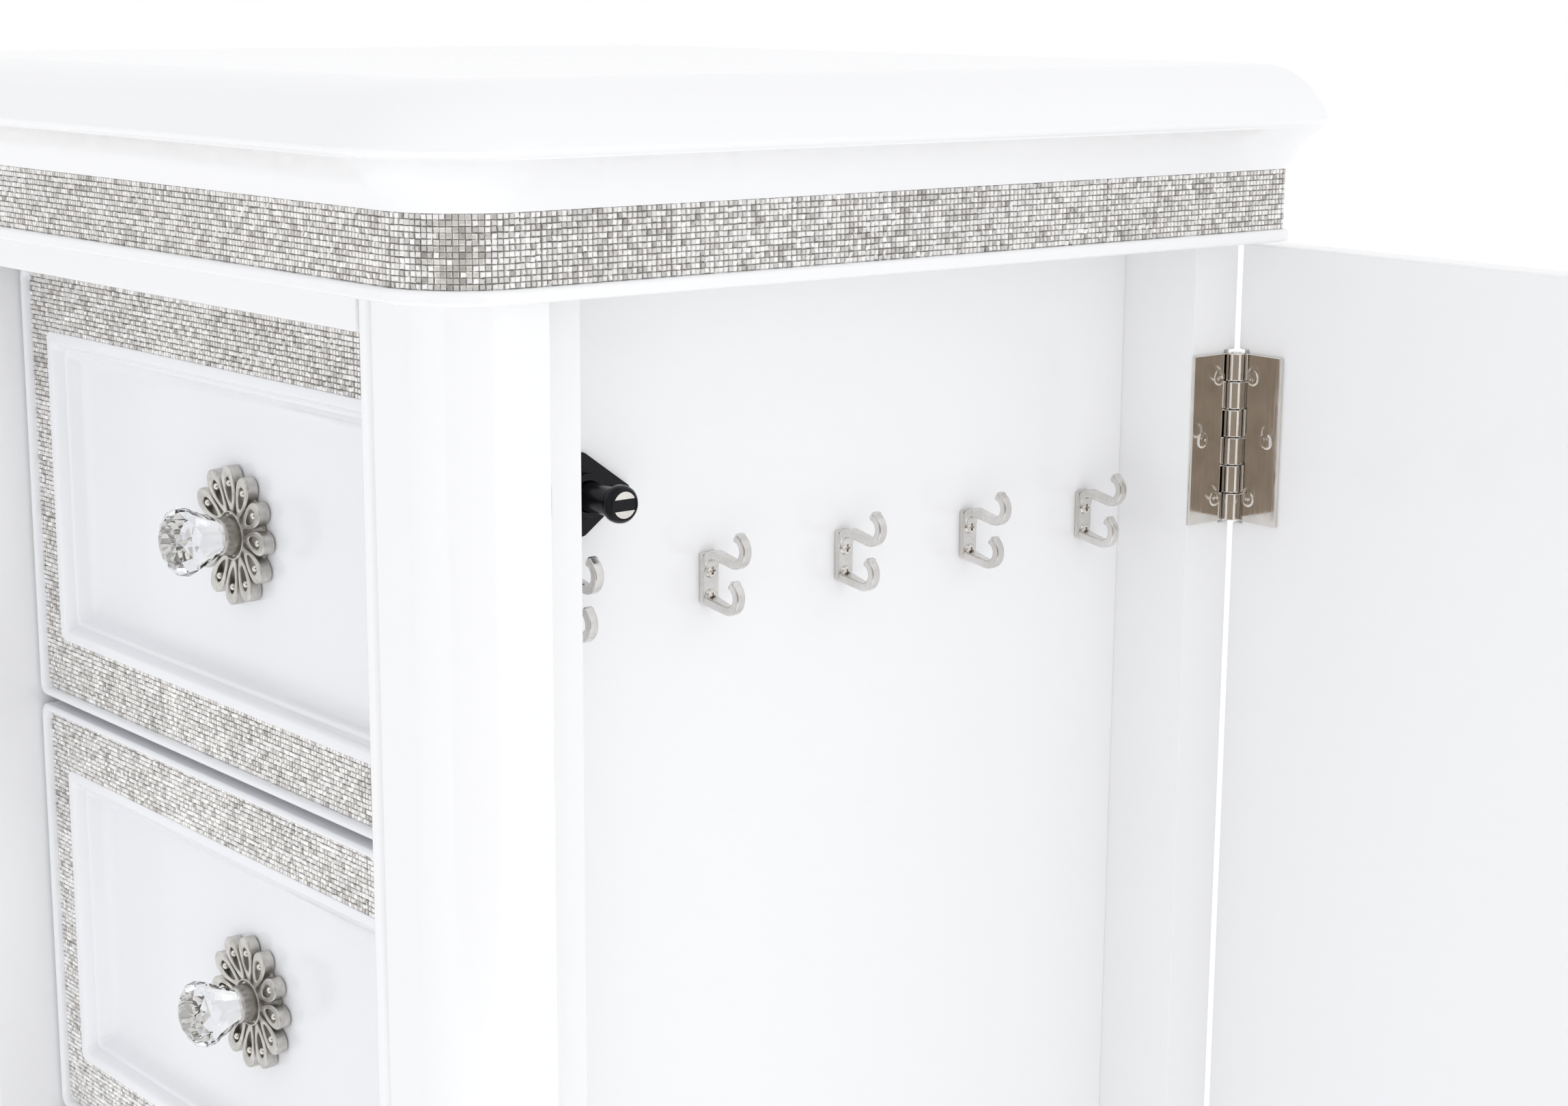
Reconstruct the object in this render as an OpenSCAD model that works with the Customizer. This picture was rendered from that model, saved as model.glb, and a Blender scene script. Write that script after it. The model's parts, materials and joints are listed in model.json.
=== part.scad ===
// Jewelry armoire: a narrow lacquered chest with five drawers between two
// corner posts, a hinged door on each side over a shallow hook compartment,
// and trims of small stones round the frieze and every drawer front.
// +Z is up, the front faces -Y. The origin is on the floor under the middle
// of the case. Right-hand pieces are drawn and mirrored to the left.

/* [Case] */
// Width over the frieze band
case_w = 444; // [400:1:540]
// Depth over the frieze band
case_d = 404; // [330:1:500]
// Radius of the two front corners of the frieze
corner_r = 30; // [26:1:36]
// Height of the bun feet
foot_h = 70; // [45:1:120]
// Radius of a bun foot at its widest
foot_r = 28; // [20:1:34]

/* [Mouldings] */
// Height of the top moulding and of the base moulding
moulding_h = 41; // [34:1:55]
// How far the nose of a moulding stands out from the band
moulding_out = 20; // [14:1:28]
// Height of the hollow under the nose
cove_h = 18; // [12:1:22]
// Radius of the hollow
cove_r = 45; // [30:1:80]
// Height of the upright nose
nose_h = 3; // [1:0.5:5]
// Length of the crown from the nose to the flat top
crown_run = 34; // [24:1:44]

/* [Frieze] */
// Height of the stone band
band_h = 24; // [16:1:36]
// Thickness of every stone trim
stone_t = 1.2; // [0.8:0.1:2]
// Height of the lip under the band
lip_h = 5; // [3:0.5:10]
// How far the lip stands out from the band
lip_out = 2; // [1:0.5:4]
// Height of the rail above the top drawer
header_h = 13; // [8:1:30]
// Thickness of that rail
header_t = 20; // [14:1:28]

/* [Posts and panels] */
// Width of a front post
post_w = 57; // [50:1:70]
// Radius of a post's outer corner
post_r = 26; // [16:1:30]
// Step back from the band to the posts' front face
front_inset = 8; // [4:1:12]
// Step in from the band to the posts and the closed doors
side_inset = 4; // [2:0.5:8]
// Depth of the post's side face, from the front to the door's rabbet
post_face_d = 38; // [34:1:46]
// Depth of the post's jamb behind the rabbet
jamb_d = 25; // [18:1:34]
// Width of the rounded bead on the post's inner edge
bead_w = 7; // [4:0.5:9]
// Width and depth of the groove beside the bead
groove = 2.5; // [1:0.5:3]
// Width of a back stile
stile_w = 26; // [26:1:40]
// Clear depth of a side compartment behind the stile face
compartment_d = 38; // [34:1:50]
// Thickness of a hook panel
panel_t = 12; // [9:1:15]
// Thickness of the back panel
back_t = 5; // [3:1:9]
// Distance from the back edge to the back panel
back_inset = 4; // [2:1:8]

/* [Drawers] */
// Height of a drawer front
front_h = 188; // [150:1:220]
// Thickness of a drawer front
front_t = 20; // [19:1:24]
// Gap between drawer fronts, and above and below the stack
front_gap = 4; // [3:0.5:6]
// Gap between a drawer front and the posts
front_side_gap = 2.5; // [1.5:0.5:4]
// Step back from the posts' front face to the drawer fronts
front_setback = 30; // [6:1:34]
// Width of the raised rim round a drawer front
rim_w = 3.5; // [2:0.5:6]
// Height of the rim over the stone trim's bed
rim_h = 4; // [3:0.5:5]
// Width of the stone trim along the top and bottom
trim_top_w = 24; // [16:1:30]
// Width of the stone trim along the sides
trim_side_w = 15; // [8:1:22]
// Plain margin and bevel round the field, inside the trim
field_margin = 10; // [6:1:16]
// Depth of the field below the trim's bed
field_depth = 10; // [6:1:11]
// Corner radius of a drawer front
front_r = 4; // [2:1:10]
// Gap between a drawer box and the back panel
box_back_gap = 37; // [4:1:80]
// Drop from the top of a drawer front to the top of its box
box_top_drop = 37.5; // [8:0.5:70]
// Wall thickness of a drawer box
box_wall = 10; // [8:1:14]
// Thickness of a drawer bottom
box_floor = 5; // [4:1:8]
// Glue line between the boards of a drawer box
glue_gap = 0.1; // [0.05:0.05:0.2]
// Gap between a drawer box and the hook panels
box_gap = 2; // [1:0.5:4]
// Height and width of a drawer runner
runner = 10; // [8:1:14]
// Gap between a drawer box and its runners
runner_gap = 0.5; // [0.4:0.1:1]

/* [Knobs] */
// Radius of the flower rosette
rosette_r = 27; // [20:1:32]
// Thickness of the rosette
rosette_t = 4; // [3:0.5:6]
// Number of petals
petals = 12; // [8:1:16]
// Radius of the nickel ferrule
ferrule_r = 8.5; // [6:0.5:10]
// Length of the ferrule over the rosette
ferrule_h = 6; // [4:0.5:10]
// Radius of the crystal at its widest
crystal_r = 13; // [10:0.5:16]
// Length of the crystal
crystal_l = 22; // [16:1:28]
// Radius of the knob screw
knob_screw_r = 2; // [1.5:0.1:2.5]

/* [Doors and hinges] */
// Thickness of a side door
door_t = 15; // [14:1:20]
// Angle that the right door stands open at
door_open = 86; // [0:1:95]
// Gap round a closed door
door_gap = 2; // [1.5:0.5:3]
// Height of a hinge
hinge_h = 70; // [50:1:90]
// Width of a hinge leaf from the pin's axis
leaf_w = 25; // [22:1:25]
// Thickness of a hinge leaf
leaf_t = 1.6; // [1.2:0.1:2]
// Gap between the two leaves of a closed hinge
leaf_gap = 0.8; // [0.6:0.1:1.5]
// Outer radius of a knuckle
knuckle_r = 4.5; // [4:0.1:5.5]
// Radius of a hinge pin
hinge_pin_r = 2; // [1.5:0.1:2.5]
// Radial running clearance of the pin
pin_clear = 0.05; // [0.02:0.01:0.1]
// Distance from the back edge of the case to the pin's axis
pin_inset = 1.5; // [1:0.5:4]
// Distance from a door's end to the middle of the outer hinges
hinge_from_end = 80; // [60:1:140]

/* [Hooks and latch] */
// Distance from the compartment's front to the first hook
hook_from_front = 18; // [12:1:30]
// Distance from the back stile to the last hook
hook_from_back = 23; // [12:1:40]
// Drop from the lip to the top of the hook plates
hook_drop = 105; // [60:1:200]
// Height of a hook's plate
hook_plate_h = 19.5; // [16:0.5:26]
// Width of a hook's plate
hook_plate_w = 8; // [6:0.5:12]
// Thickness of a hook's bar, in its plane
hook_bar = 3.4; // [2.5:0.1:4]
// Drop from the lip to the latch's axis
latch_drop = 77; // [50:1:90]
// Distance from the compartment's front to the latch's axis
latch_from_front = 26; // [24:1:40]
// Half length of the latch's flange
flange_half_l = 25; // [20:1:30]
// Half height of the latch's flange
flange_half_h = 15; // [12:1:20]
// Radius of the latch's plunger
plunger_r = 5.2; // [4:0.1:6]
// Radius of the plunger's magnetic head
plunger_head_r = 6.8; // [5:0.1:8]
// Reach of the plunger's head from the hook panel
plunger_reach = 28; // [20:1:30]
// Travel of the plunger as the door is pressed
plunger_travel = 4; // [3:0.5:6]
// Gap between the plunger's head and the strike of a closed door
strike_gap = 0.6; // [0.4:0.1:2]

/* [Hidden] */
$fn = 64;
DRAWERS = 5;
HINGES = 3;
HOOKS = 5;
KNUCKLES = 6;
overlap = 0.01;
base_top = foot_h + moulding_h;
stack_h = DRAWERS * (front_h + front_gap) + front_gap;
lip_z = base_top + stack_h + header_h;
band_z = lip_z + lip_h;
top_z = band_z + band_h;
front_y = -case_d / 2;
back_y = case_d / 2;
half_w = case_w / 2;
post_front_y = front_y + front_inset;
post_x = half_w - side_inset;
opening_half = post_x - post_w;
rabbet_y = post_front_y + post_face_d;
jamb_y = rabbet_y + jamb_d;
stile_y = back_y - stile_w;
door_inner_x = post_x - door_t;
pin_x = door_inner_x - leaf_gap / 2 - leaf_t;
pin_y = back_y - pin_inset;
stile_x = pin_x - leaf_gap / 2 - leaf_t;
panel_x = stile_x - compartment_d;
cavity_half = panel_x - panel_t;
drawer_y = post_front_y + front_setback;
bed_y = drawer_y + rim_h;
field_y = bed_y + field_depth;
box_y = drawer_y + front_t;
front_half = opening_half - front_side_gap;
back_panel_y = back_y - back_inset - back_t;
box_half = cavity_half - box_gap;
box_lift = runner + runner_gap;
box_l = back_panel_y - box_back_gap - box_y;
box_h = front_h - box_lift - box_top_drop;
door_bottom = base_top + door_gap;
door_top = lip_z - door_gap;
knuckle_h = hinge_h / KNUCKLES;
knuckle_gap = 0.3;
notch_r = knuckle_r + 0.5;
notch_over = 1;
door_back_in = 1;
front_clear = 2;
foot_in = corner_r + 6;
screw_r = 1.6;
screw_head_r = 3.3;
screw_l = 11;
hole_clear = 0.1;
knob_clear = 0.3;
latch_y = jamb_y + latch_from_front;
latch_z = lip_z - latch_drop;
guide_r = plunger_r + 0.3;
collar_r = guide_r + 2.6;
collar_h = 4.5;
flange_t = 2.2;
strike_r = 8;
hook_z = lip_z - hook_drop;
hook_pitch = (stile_y - jamb_y - hook_from_front - hook_from_back) / (HOOKS - 1);
hook_bar_w = 4;
hook_plate_t = 1.8;
curl_r = 5.3;
upper_curl = [17, 2.8];
lower_curl = [13.4, 4.3 - hook_plate_h];
crest_r = 4.6;
crest_drop = 0.6;
head_clear = 0.2;

function drawer_z(n) = base_top + front_gap + (DRAWERS - n) * (front_h + front_gap);
function hinge_z(i) = [door_top - hinge_from_end, (door_top + door_bottom) / 2,
    door_bottom + hinge_from_end][i];
function hook_y(i) = jamb_y + hook_from_front + i * hook_pitch;
// Hinge screws, as distance from the pin and height from the hinge's middle
hinge_screws = [[9.5, hinge_h * 0.36], [18.5, 0], [9.5, -hinge_h * 0.36]];
// Hook screws, as height from the top of the plate
hook_screws = [hook_plate_h * 0.36, hook_plate_h * 0.86];

// ---- shared shapes ----

module on_both_sides() {
    children();
    mirror([1, 0, 0]) children();
}

module left_or_right(side) {
    if (side == "left") mirror([1, 0, 0]) children();
    if (side == "right") children();
}

// A plan outline grown outward from the band, round at the two front corners
module footprint(grow) {
    r = corner_r + grow;
    w = half_w + grow;
    for (s = [-1, 1])
        translate([s * (w - r), front_y + corner_r]) circle(r = r);
    translate([-w, front_y + corner_r]) square([2 * w, case_d - corner_r]);
    translate([r - w, front_y - grow]) square([2 * (w - r), r]);
}

// Half section of a moulded slab: x is the distance from the corner's axis
module moulding_section() {
    nose_z = cove_h + nose_h;
    rise = moulding_h - nose_z;
    crown_r = (crown_run * crown_run + rise * rise) / (2 * rise);
    crown_x = corner_r + moulding_out - crown_run;
    tuck = 1.5;
    cove_w = moulding_out - tuck;
    chord = norm([cove_w, cove_h]);
    sink = sqrt(cove_r * cove_r - chord * chord / 4);
    difference() {
        polygon([[0, 0], [corner_r, 0], [corner_r + cove_w, cove_h],
            [corner_r + moulding_out, cove_h + tuck],
            [corner_r + moulding_out, nose_z], [0, nose_z]]);
        translate([corner_r + cove_w / 2 + sink * cove_h / chord,
            cove_h / 2 - sink * cove_w / chord]) circle(r = cove_r, $fn = 128);
    }
    translate([0, nose_z]) square([crown_x, rise]);
    intersection() {
        translate([crown_x, moulding_h - crown_r]) circle(r = crown_r, $fn = 128);
        translate([crown_x, nose_z]) square([crown_run, rise]);
    }
}

// A slab with the moulding round its front and sides, and a plain back
module moulded_slab() {
    cx = half_w - corner_r;
    cy = front_y + corner_r;
    on_both_sides() {
        translate([cx, cy, 0]) rotate_extrude($fn = 96) moulding_section();
        translate([cx, back_y, 0]) rotate([90, 0, 0])
            linear_extrude(case_d - corner_r) moulding_section();
    }
    translate([cx, cy, 0]) rotate([0, 0, -90]) rotate([90, 0, 0])
        linear_extrude(2 * cx) moulding_section();
    translate([-cx, cy, 0]) cube([2 * cx, case_d - corner_r, moulding_h]);
}

module round_rect(w, h, r) {
    translate([-w / 2 + r, -h / 2]) square([w - 2 * r, h]);
    translate([-w / 2, -h / 2 + r]) square([w, h - 2 * r]);
    for (x = [-1, 1], y = [-1, 1])
        translate([x * (w / 2 - r), y * (h / 2 - r)]) circle(r = r, $fn = 32);
}

// Extrudes an outline drawn in X and Z from y = start towards the back
module upright(start, thickness, z) {
    translate([0, start + thickness, z]) rotate([90, 0, 0])
        linear_extrude(thickness) children();
}

// A countersunk wood screw along -X, its head's face at x = 0
module wood_screw(head_h) {
    rotate([0, -90, 0]) cylinder(h = head_h, r1 = screw_head_r, r2 = screw_r, $fn = 32);
    translate([-head_h, 0, 0]) rotate([0, -90, 0])
        cylinder(h = screw_l - head_h, r = screw_r, $fn = 32);
}

module screw_cut(head_h) {
    rotate([0, -90, 0]) translate([0, 0, -overlap])
        cylinder(h = head_h + 2 * overlap, r1 = screw_head_r + hole_clear,
            r2 = screw_r + hole_clear, $fn = 32);
}

// ---- case ----

module top_panel() {
    color("white") translate([0, 0, top_z]) moulded_slab();
}

module frieze_board() {
    color("white") {
        translate([0, 0, band_z]) linear_extrude(band_h) footprint(-stone_t);
        translate([0, 0, lip_z]) linear_extrude(lip_h) footprint(lip_out);
    }
}

module frieze_stone_band() {
    color("silver") translate([0, 0, band_z]) linear_extrude(band_h) difference() {
        footprint(0);
        footprint(-stone_t);
    }
}

module header_rail() {
    color("white") translate([-opening_half, post_front_y, lip_z - header_h])
        cube([2 * opening_half, header_t, header_h]);
}

module base_panel() {
    color("white") translate([0, 0, base_top]) mirror([0, 0, 1]) moulded_slab();
}

// A foot is turned with one hollow round its neck and one round its toe
module bun_feet() {
    neck_cove = foot_r * 0.86;
    toe_cove = foot_r * 0.72;
    neck_z = foot_h * 0.85;
    color("white") for (x = [-1, 1], y = [-1, 1])
        translate([x * (half_w - foot_in), y * (back_y - foot_in), 0])
            rotate_extrude($fn = 64) difference() {
                square([foot_r, foot_h]);
                translate([foot_r * 1.5, neck_z]) circle(r = neck_cove);
                translate([foot_r * 1.4, 0]) circle(r = toe_cove);
            }
}

module front_post(side) {
    groove_x = opening_half + bead_w;
    color("white") left_or_right(side) translate([0, 0, base_top])
        linear_extrude(lip_z - base_top) {
            difference() {
                intersection() {
                    translate([opening_half, post_front_y]) square([post_w, post_face_d]);
                    union() {
                        translate([opening_half, post_front_y + post_r])
                            square([post_w, post_face_d]);
                        translate([opening_half, post_front_y])
                            square([post_w - post_r, post_r]);
                        translate([post_x - post_r, post_front_y + post_r])
                            circle(r = post_r);
                    }
                }
                translate([groove_x, post_front_y - overlap])
                    square([groove, groove + overlap]);
                translate([opening_half - overlap, post_front_y - overlap])
                    square([bead_w + 2 * overlap, bead_w / 2 + overlap]);
            }
            translate([opening_half + bead_w / 2, post_front_y + bead_w / 2])
                circle(d = bead_w, $fn = 32);
            translate([opening_half, rabbet_y - overlap])
                square([stile_x - opening_half, jamb_d + overlap]);
            translate([cavity_half, box_y + front_clear])
                square([panel_t, jamb_y - box_y - front_clear]);
        }
}

// Room round the knuckles, cut in the stile and in the edge of the door
module hinge_notches() {
    half_h = hinge_h / 2 + notch_over;
    for (i = [0:HINGES - 1])
        translate([pin_x - notch_r, pin_y - notch_r, hinge_z(i) - half_h])
            cube([2 * notch_r, 2 * notch_r, 2 * half_h]);
}

module back_stile(side) {
    color("white") left_or_right(side) difference() {
        translate([cavity_half, stile_y, base_top])
            cube([stile_x - cavity_half, stile_w, lip_z - base_top]);
        hinge_notches();
    }
}

module hook_panel(side) {
    color("white") left_or_right(side) translate([cavity_half, jamb_y, base_top])
        cube([panel_t, stile_y - jamb_y, lip_z - base_top]);
}

module back_panel() {
    color("white") translate([-cavity_half, back_panel_y, base_top])
        cube([2 * cavity_half, back_t, lip_z - base_top]);
}

module drawer_runners() {
    color("burlywood") on_both_sides() for (n = [1:DRAWERS])
        translate([cavity_half - runner, jamb_y, drawer_z(n)])
            cube([runner, stile_y - jamb_y, runner]);
}

// ---- side doors ----

// Turns what is drawn for a closed right door to where it stands
module door_pose(side) {
    angle = side == "right" ? door_open : 0;
    left_or_right(side) translate([pin_x, pin_y, 0]) rotate([0, 0, angle])
        translate([-pin_x, -pin_y, 0]) children();
}

module door(side) {
    door_front = rabbet_y + door_gap;
    color("white") door_pose(side) difference() {
        translate([door_inner_x, door_front, door_bottom])
            cube([door_t, back_y - door_back_in - door_front, door_top - door_bottom]);
        hinge_notches();
    }
}

// One hinge leaf with three of the six knuckles; first is 0 or 1, and out is
// -1 for the leaf on the stile or 1 for the leaf on the door
module hinge_leaf(first, out) {
    plate_x = out > 0 ? leaf_gap / 2 : -leaf_gap / 2 - leaf_t;
    difference() {
        union() {
            translate([plate_x, -leaf_w, -hinge_h / 2])
                cube([leaf_t, leaf_w - knuckle_r - knuckle_gap, hinge_h]);
            for (k = [first:2:KNUCKLES - 1])
                translate([0, 0, hinge_h / 2 - (k + 1) * knuckle_h + knuckle_gap / 2]) {
                    cylinder(h = knuckle_h - knuckle_gap, r = knuckle_r, $fn = 48);
                    translate([plate_x, -leaf_w / 2, 0])
                        cube([leaf_t, leaf_w / 2, knuckle_h - knuckle_gap]);
                }
        }
        translate([0, 0, -hinge_h])
            cylinder(h = 2 * hinge_h, r = hinge_pin_r + pin_clear, $fn = 48);
        for (s = hinge_screws) translate([out * leaf_gap / 2, -s[0], s[1]])
            rotate([0, 0, out > 0 ? 180 : 0]) screw_cut(leaf_t);
    }
}

module hinge_frame_leaves() {
    color("silver") on_both_sides() for (i = [0:HINGES - 1])
        translate([pin_x, pin_y, hinge_z(i)]) hinge_leaf(0, -1);
}

module hinge_door_leaves(side) {
    color("silver") door_pose(side) for (i = [0:HINGES - 1])
        translate([pin_x, pin_y, hinge_z(i)]) hinge_leaf(1, 1);
}

module hinge_pins() {
    color("silver") on_both_sides() for (i = [0:HINGES - 1])
        translate([pin_x, pin_y, hinge_z(i) - hinge_h / 2])
            cylinder(h = hinge_h, r = hinge_pin_r, $fn = 48);
}

module cabinet_screws() {
    color("silver") on_both_sides() {
        for (i = [0:HINGES - 1], s = hinge_screws)
            translate([pin_x - leaf_gap / 2, pin_y - s[0], hinge_z(i) + s[1]])
                wood_screw(leaf_t);
        for (i = [0:HOOKS - 1], z = hook_screws)
            translate([panel_x + hook_plate_t, hook_y(i), hook_z - z])
                wood_screw(hook_plate_t);
    }
}

module door_screws(side) {
    color("silver") door_pose(side) for (i = [0:HINGES - 1], s = hinge_screws)
        translate([pin_x + leaf_gap / 2, pin_y - s[0], hinge_z(i) + s[1]])
            rotate([0, 0, 180]) wood_screw(leaf_t);
}

// ---- push latch ----

module latch_bodies() {
    bore_l = flange_t + collar_h + 2 * overlap;
    color("black") on_both_sides() translate([panel_x, latch_y, latch_z]) difference() {
        union() {
            rotate([90, 0, 90]) linear_extrude(flange_t) polygon([[-flange_half_l, 0],
                [0, -flange_half_h], [flange_half_l, 0], [0, flange_half_h]]);
            rotate([0, 90, 0]) cylinder(h = flange_t + collar_h, r = collar_r);
        }
        translate([-overlap, 0, 0]) rotate([0, 90, 0]) cylinder(h = bore_l, r = guide_r);
    }
}

// The plunger ends far enough out from the panel to be pressed all its travel
module latch_plunger(side) {
    head_l = 5;
    tail = plunger_travel + 1;
    color("black") left_or_right(side) translate([panel_x, latch_y, latch_z])
        rotate([0, 90, 0]) {
            translate([0, 0, tail]) cylinder(h = plunger_reach - tail - head_l, r = plunger_r);
            translate([0, 0, plunger_reach - head_l]) cylinder(h = head_l, r = plunger_head_r);
        }
}

// The steel strike on its spacer, on the door's inner face
module strike(side) {
    strike_face = panel_x + plunger_reach + strike_gap;
    color("silver") door_pose(side) translate([strike_face, latch_y, latch_z])
        rotate([0, 90, 0]) cylinder(h = door_inner_x - strike_face, r = strike_r);
}

// ---- necklace hooks ----

// A bar bent to an arc in the X-Z plane, from angle a over angle da
module bent_bar(centre, r, a, da) {
    translate([centre[0], 0, centre[1]]) rotate([90, 0, 0]) rotate([0, 0, a])
        rotate_extrude(angle = da, $fn = 96) translate([r - hook_bar / 2, -hook_bar_w / 2])
            square([hook_bar, hook_bar_w]);
}

// Slope of the straight that leaves an arc about a, bent one way, and runs
// smoothly into an arc about b, bent the other way
function join_slope(a, ra, b, rb) =
    atan2(b[1] - a[1], b[0] - a[0]) - asin((ra + rb) / norm(b - a));

function on_arc(centre, r, a) = centre + r * [cos(a), sin(a)];

module straight_bar(from, to) {
    run = to - from;
    translate([from[0], 0, from[1]]) rotate([0, -atan2(run[1], run[0]), 0])
        translate([0, -hook_bar_w / 2, -hook_bar / 2])
            cube([norm(run), hook_bar_w, hook_bar]);
}

// One double hook: plate against the panel, upper curl above it, lower curl below
module necklace_hook() {
    crest = [crest_r + hook_bar / 2, -crest_r - crest_drop];
    root = [hook_plate_t / 2, hook_bar / 2 - hook_plate_h];
    upper_slope = join_slope(crest, crest_r, upper_curl, curl_r);
    lower_slope = join_slope(root, 0, lower_curl, curl_r);
    upper_tip = 60;
    lower_tip = 52;
    difference() {
        union() {
            translate([0, -hook_plate_w / 2, -hook_plate_h])
                cube([hook_plate_t, hook_plate_w, hook_plate_h]);
            bent_bar(crest, crest_r, 90 + upper_slope, 90 - upper_slope);
            straight_bar(on_arc(crest, crest_r, 90 + upper_slope),
                on_arc(upper_curl, curl_r, 270 + upper_slope));
            bent_bar(upper_curl, curl_r, 270 + upper_slope, upper_tip + 90 - upper_slope);
            straight_bar(root, on_arc(lower_curl, curl_r, 270 + lower_slope));
            bent_bar(lower_curl, curl_r, 270 + lower_slope, lower_tip + 90 - lower_slope);
        }
        for (z = hook_screws) translate([hook_plate_t, 0, -z]) screw_cut(hook_plate_t);
        translate([hook_plate_t, 0, -hook_screws[0]]) rotate([0, 90, 0])
            cylinder(h = hook_bar, r = screw_head_r + head_clear, $fn = 32);
    }
}

module necklace_hooks(side) {
    color("silver") left_or_right(side) for (i = [0:HOOKS - 1])
        translate([panel_x, hook_y(i), hook_z]) necklace_hook();
}

// ---- drawers ----

module drawer_front(n) {
    z = drawer_z(n) + front_h / 2;
    bed_w = 2 * (front_half - rim_w);
    bed_h = front_h - 2 * rim_w;
    field_w = bed_w - 2 * (trim_side_w + field_margin);
    field_h = bed_h - 2 * (trim_top_w + field_margin);
    color("ghostwhite") difference() {
        upright(drawer_y, front_t, z) round_rect(2 * front_half, front_h, front_r);
        upright(drawer_y - overlap, rim_h + overlap, z) square([bed_w, bed_h], center = true);
        upright(drawer_y - overlap, rim_h + field_depth + overlap, z)
            square([field_w, field_h], center = true);
        knob_bore(n);
    }
}

module knob_bore(n) {
    translate([0, drawer_y, drawer_z(n) + front_h / 2]) rotate([-90, 0, 0])
        cylinder(h = front_t + box_wall + overlap, r = knob_screw_r + knob_clear, $fn = 32);
}

module drawer_stone_trim(n) {
    bed_w = 2 * (front_half - rim_w);
    bed_h = front_h - 2 * rim_w;
    color("silver") upright(bed_y - stone_t, stone_t, drawer_z(n) + front_h / 2) difference() {
        square([bed_w, bed_h], center = true);
        square([bed_w - 2 * trim_side_w, bed_h - 2 * trim_top_w], center = true);
    }
}

// Two sides, with a front wall, a back wall and a bottom glued in between them
module drawer_box(n) {
    inner_half = box_half - box_wall;
    between_w = 2 * (inner_half - glue_gap);
    floor_y = box_y + box_wall + glue_gap;
    floor_l = box_l - 2 * (box_wall + glue_gap);
    color("burlywood") {
        on_both_sides() translate([inner_half, box_y, drawer_z(n) + box_lift])
            cube([box_wall, box_l, box_h]);
        difference() {
            translate([-between_w / 2, box_y, drawer_z(n) + box_lift])
                cube([between_w, box_wall, box_h]);
            knob_bore(n);
        }
        translate([-between_w / 2, box_y + box_l - box_wall, drawer_z(n) + box_lift])
            cube([between_w, box_wall, box_h]);
        translate([-between_w / 2, floor_y, drawer_z(n) + box_lift])
            cube([between_w, floor_l, box_floor]);
    }
}

module knob_place(n) {
    translate([0, field_y, drawer_z(n) + front_h / 2]) rotate([90, 0, 0]) children();
}

module drawer_rosette(n) {
    petal_r = rosette_r * 0.24;
    color("darkgray") knob_place(n) linear_extrude(rosette_t) difference() {
        union() {
            circle(r = rosette_r - petal_r);
            for (i = [0:petals - 1]) rotate([0, 0, i * 360 / petals])
                translate([rosette_r - petal_r, 0]) circle(r = petal_r, $fn = 32);
        }
        circle(r = knob_screw_r + knob_clear);
    }
}

// Ferrule, shank through the front, and screw head inside the box
module drawer_knob_screw(n) {
    shank = rosette_t + front_t - rim_h - field_depth + box_wall;
    color("darkgray") knob_place(n) {
        translate([0, 0, rosette_t]) cylinder(h = ferrule_h, r = ferrule_r);
        translate([0, 0, rosette_t - shank]) cylinder(h = shank, r = knob_screw_r);
        translate([0, 0, rosette_t - shank - knob_screw_r])
            cylinder(h = knob_screw_r, r = 2 * knob_screw_r);
    }
}

module drawer_crystal(n) {
    neck_r = ferrule_r - 1.5;
    color("white", 0.5) knob_place(n) translate([0, 0, rosette_t + ferrule_h]) {
        cylinder(h = crystal_l * 0.6, r1 = neck_r, r2 = crystal_r);
        translate([0, 0, crystal_l * 0.6]) cylinder(h = crystal_l * 0.15, r = crystal_r);
        translate([0, 0, crystal_l * 0.75])
            cylinder(h = crystal_l * 0.25, r1 = crystal_r, r2 = crystal_r * 0.55);
    }
}

top_panel();
frieze_board();
frieze_stone_band();
header_rail();
base_panel();
bun_feet();
front_post("left");  // front_post_left
front_post("right");  // front_post_right
back_stile("left");  // back_stile_left
back_stile("right");  // back_stile_right
hook_panel("left");  // hook_panel_left
hook_panel("right");  // hook_panel_right
back_panel();
drawer_runners();
door("left");  // door_left
door("right");  // door_right
hinge_frame_leaves();
hinge_door_leaves("left");  // hinge_door_leaves_left
hinge_door_leaves("right");  // hinge_door_leaves_right
hinge_pins();
cabinet_screws();
door_screws("left");  // door_screws_left
door_screws("right");  // door_screws_right
latch_bodies();
latch_plunger("left");  // latch_plunger_left
latch_plunger("right");  // latch_plunger_right
strike("left");  // strike_left
strike("right");  // strike_right
necklace_hooks("left");  // necklace_hooks_left
necklace_hooks("right");  // necklace_hooks_right
for (n = [1:DRAWERS]) {
    drawer_front(n);
    drawer_box(n);
    drawer_stone_trim(n);
    drawer_rosette(n);
    drawer_knob_screw(n);
    drawer_crystal(n);
}
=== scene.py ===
# %% [markdown]
# # A lacquered jewelry armoire
# This lesson dresses the exact CAD model of a tall white jewelry chest. The CAD
# model gives every size and every moving body. Blender adds what a drawing
# leaves out: eased arrises, thousands of small stones, pierced rosettes, cut
# crystal knobs, screw heads and finishes.

# %% Load the frame
import json
import math
import random

import bmesh
import bpy
import numpy as np
from mathutils import Matrix, Vector


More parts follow.
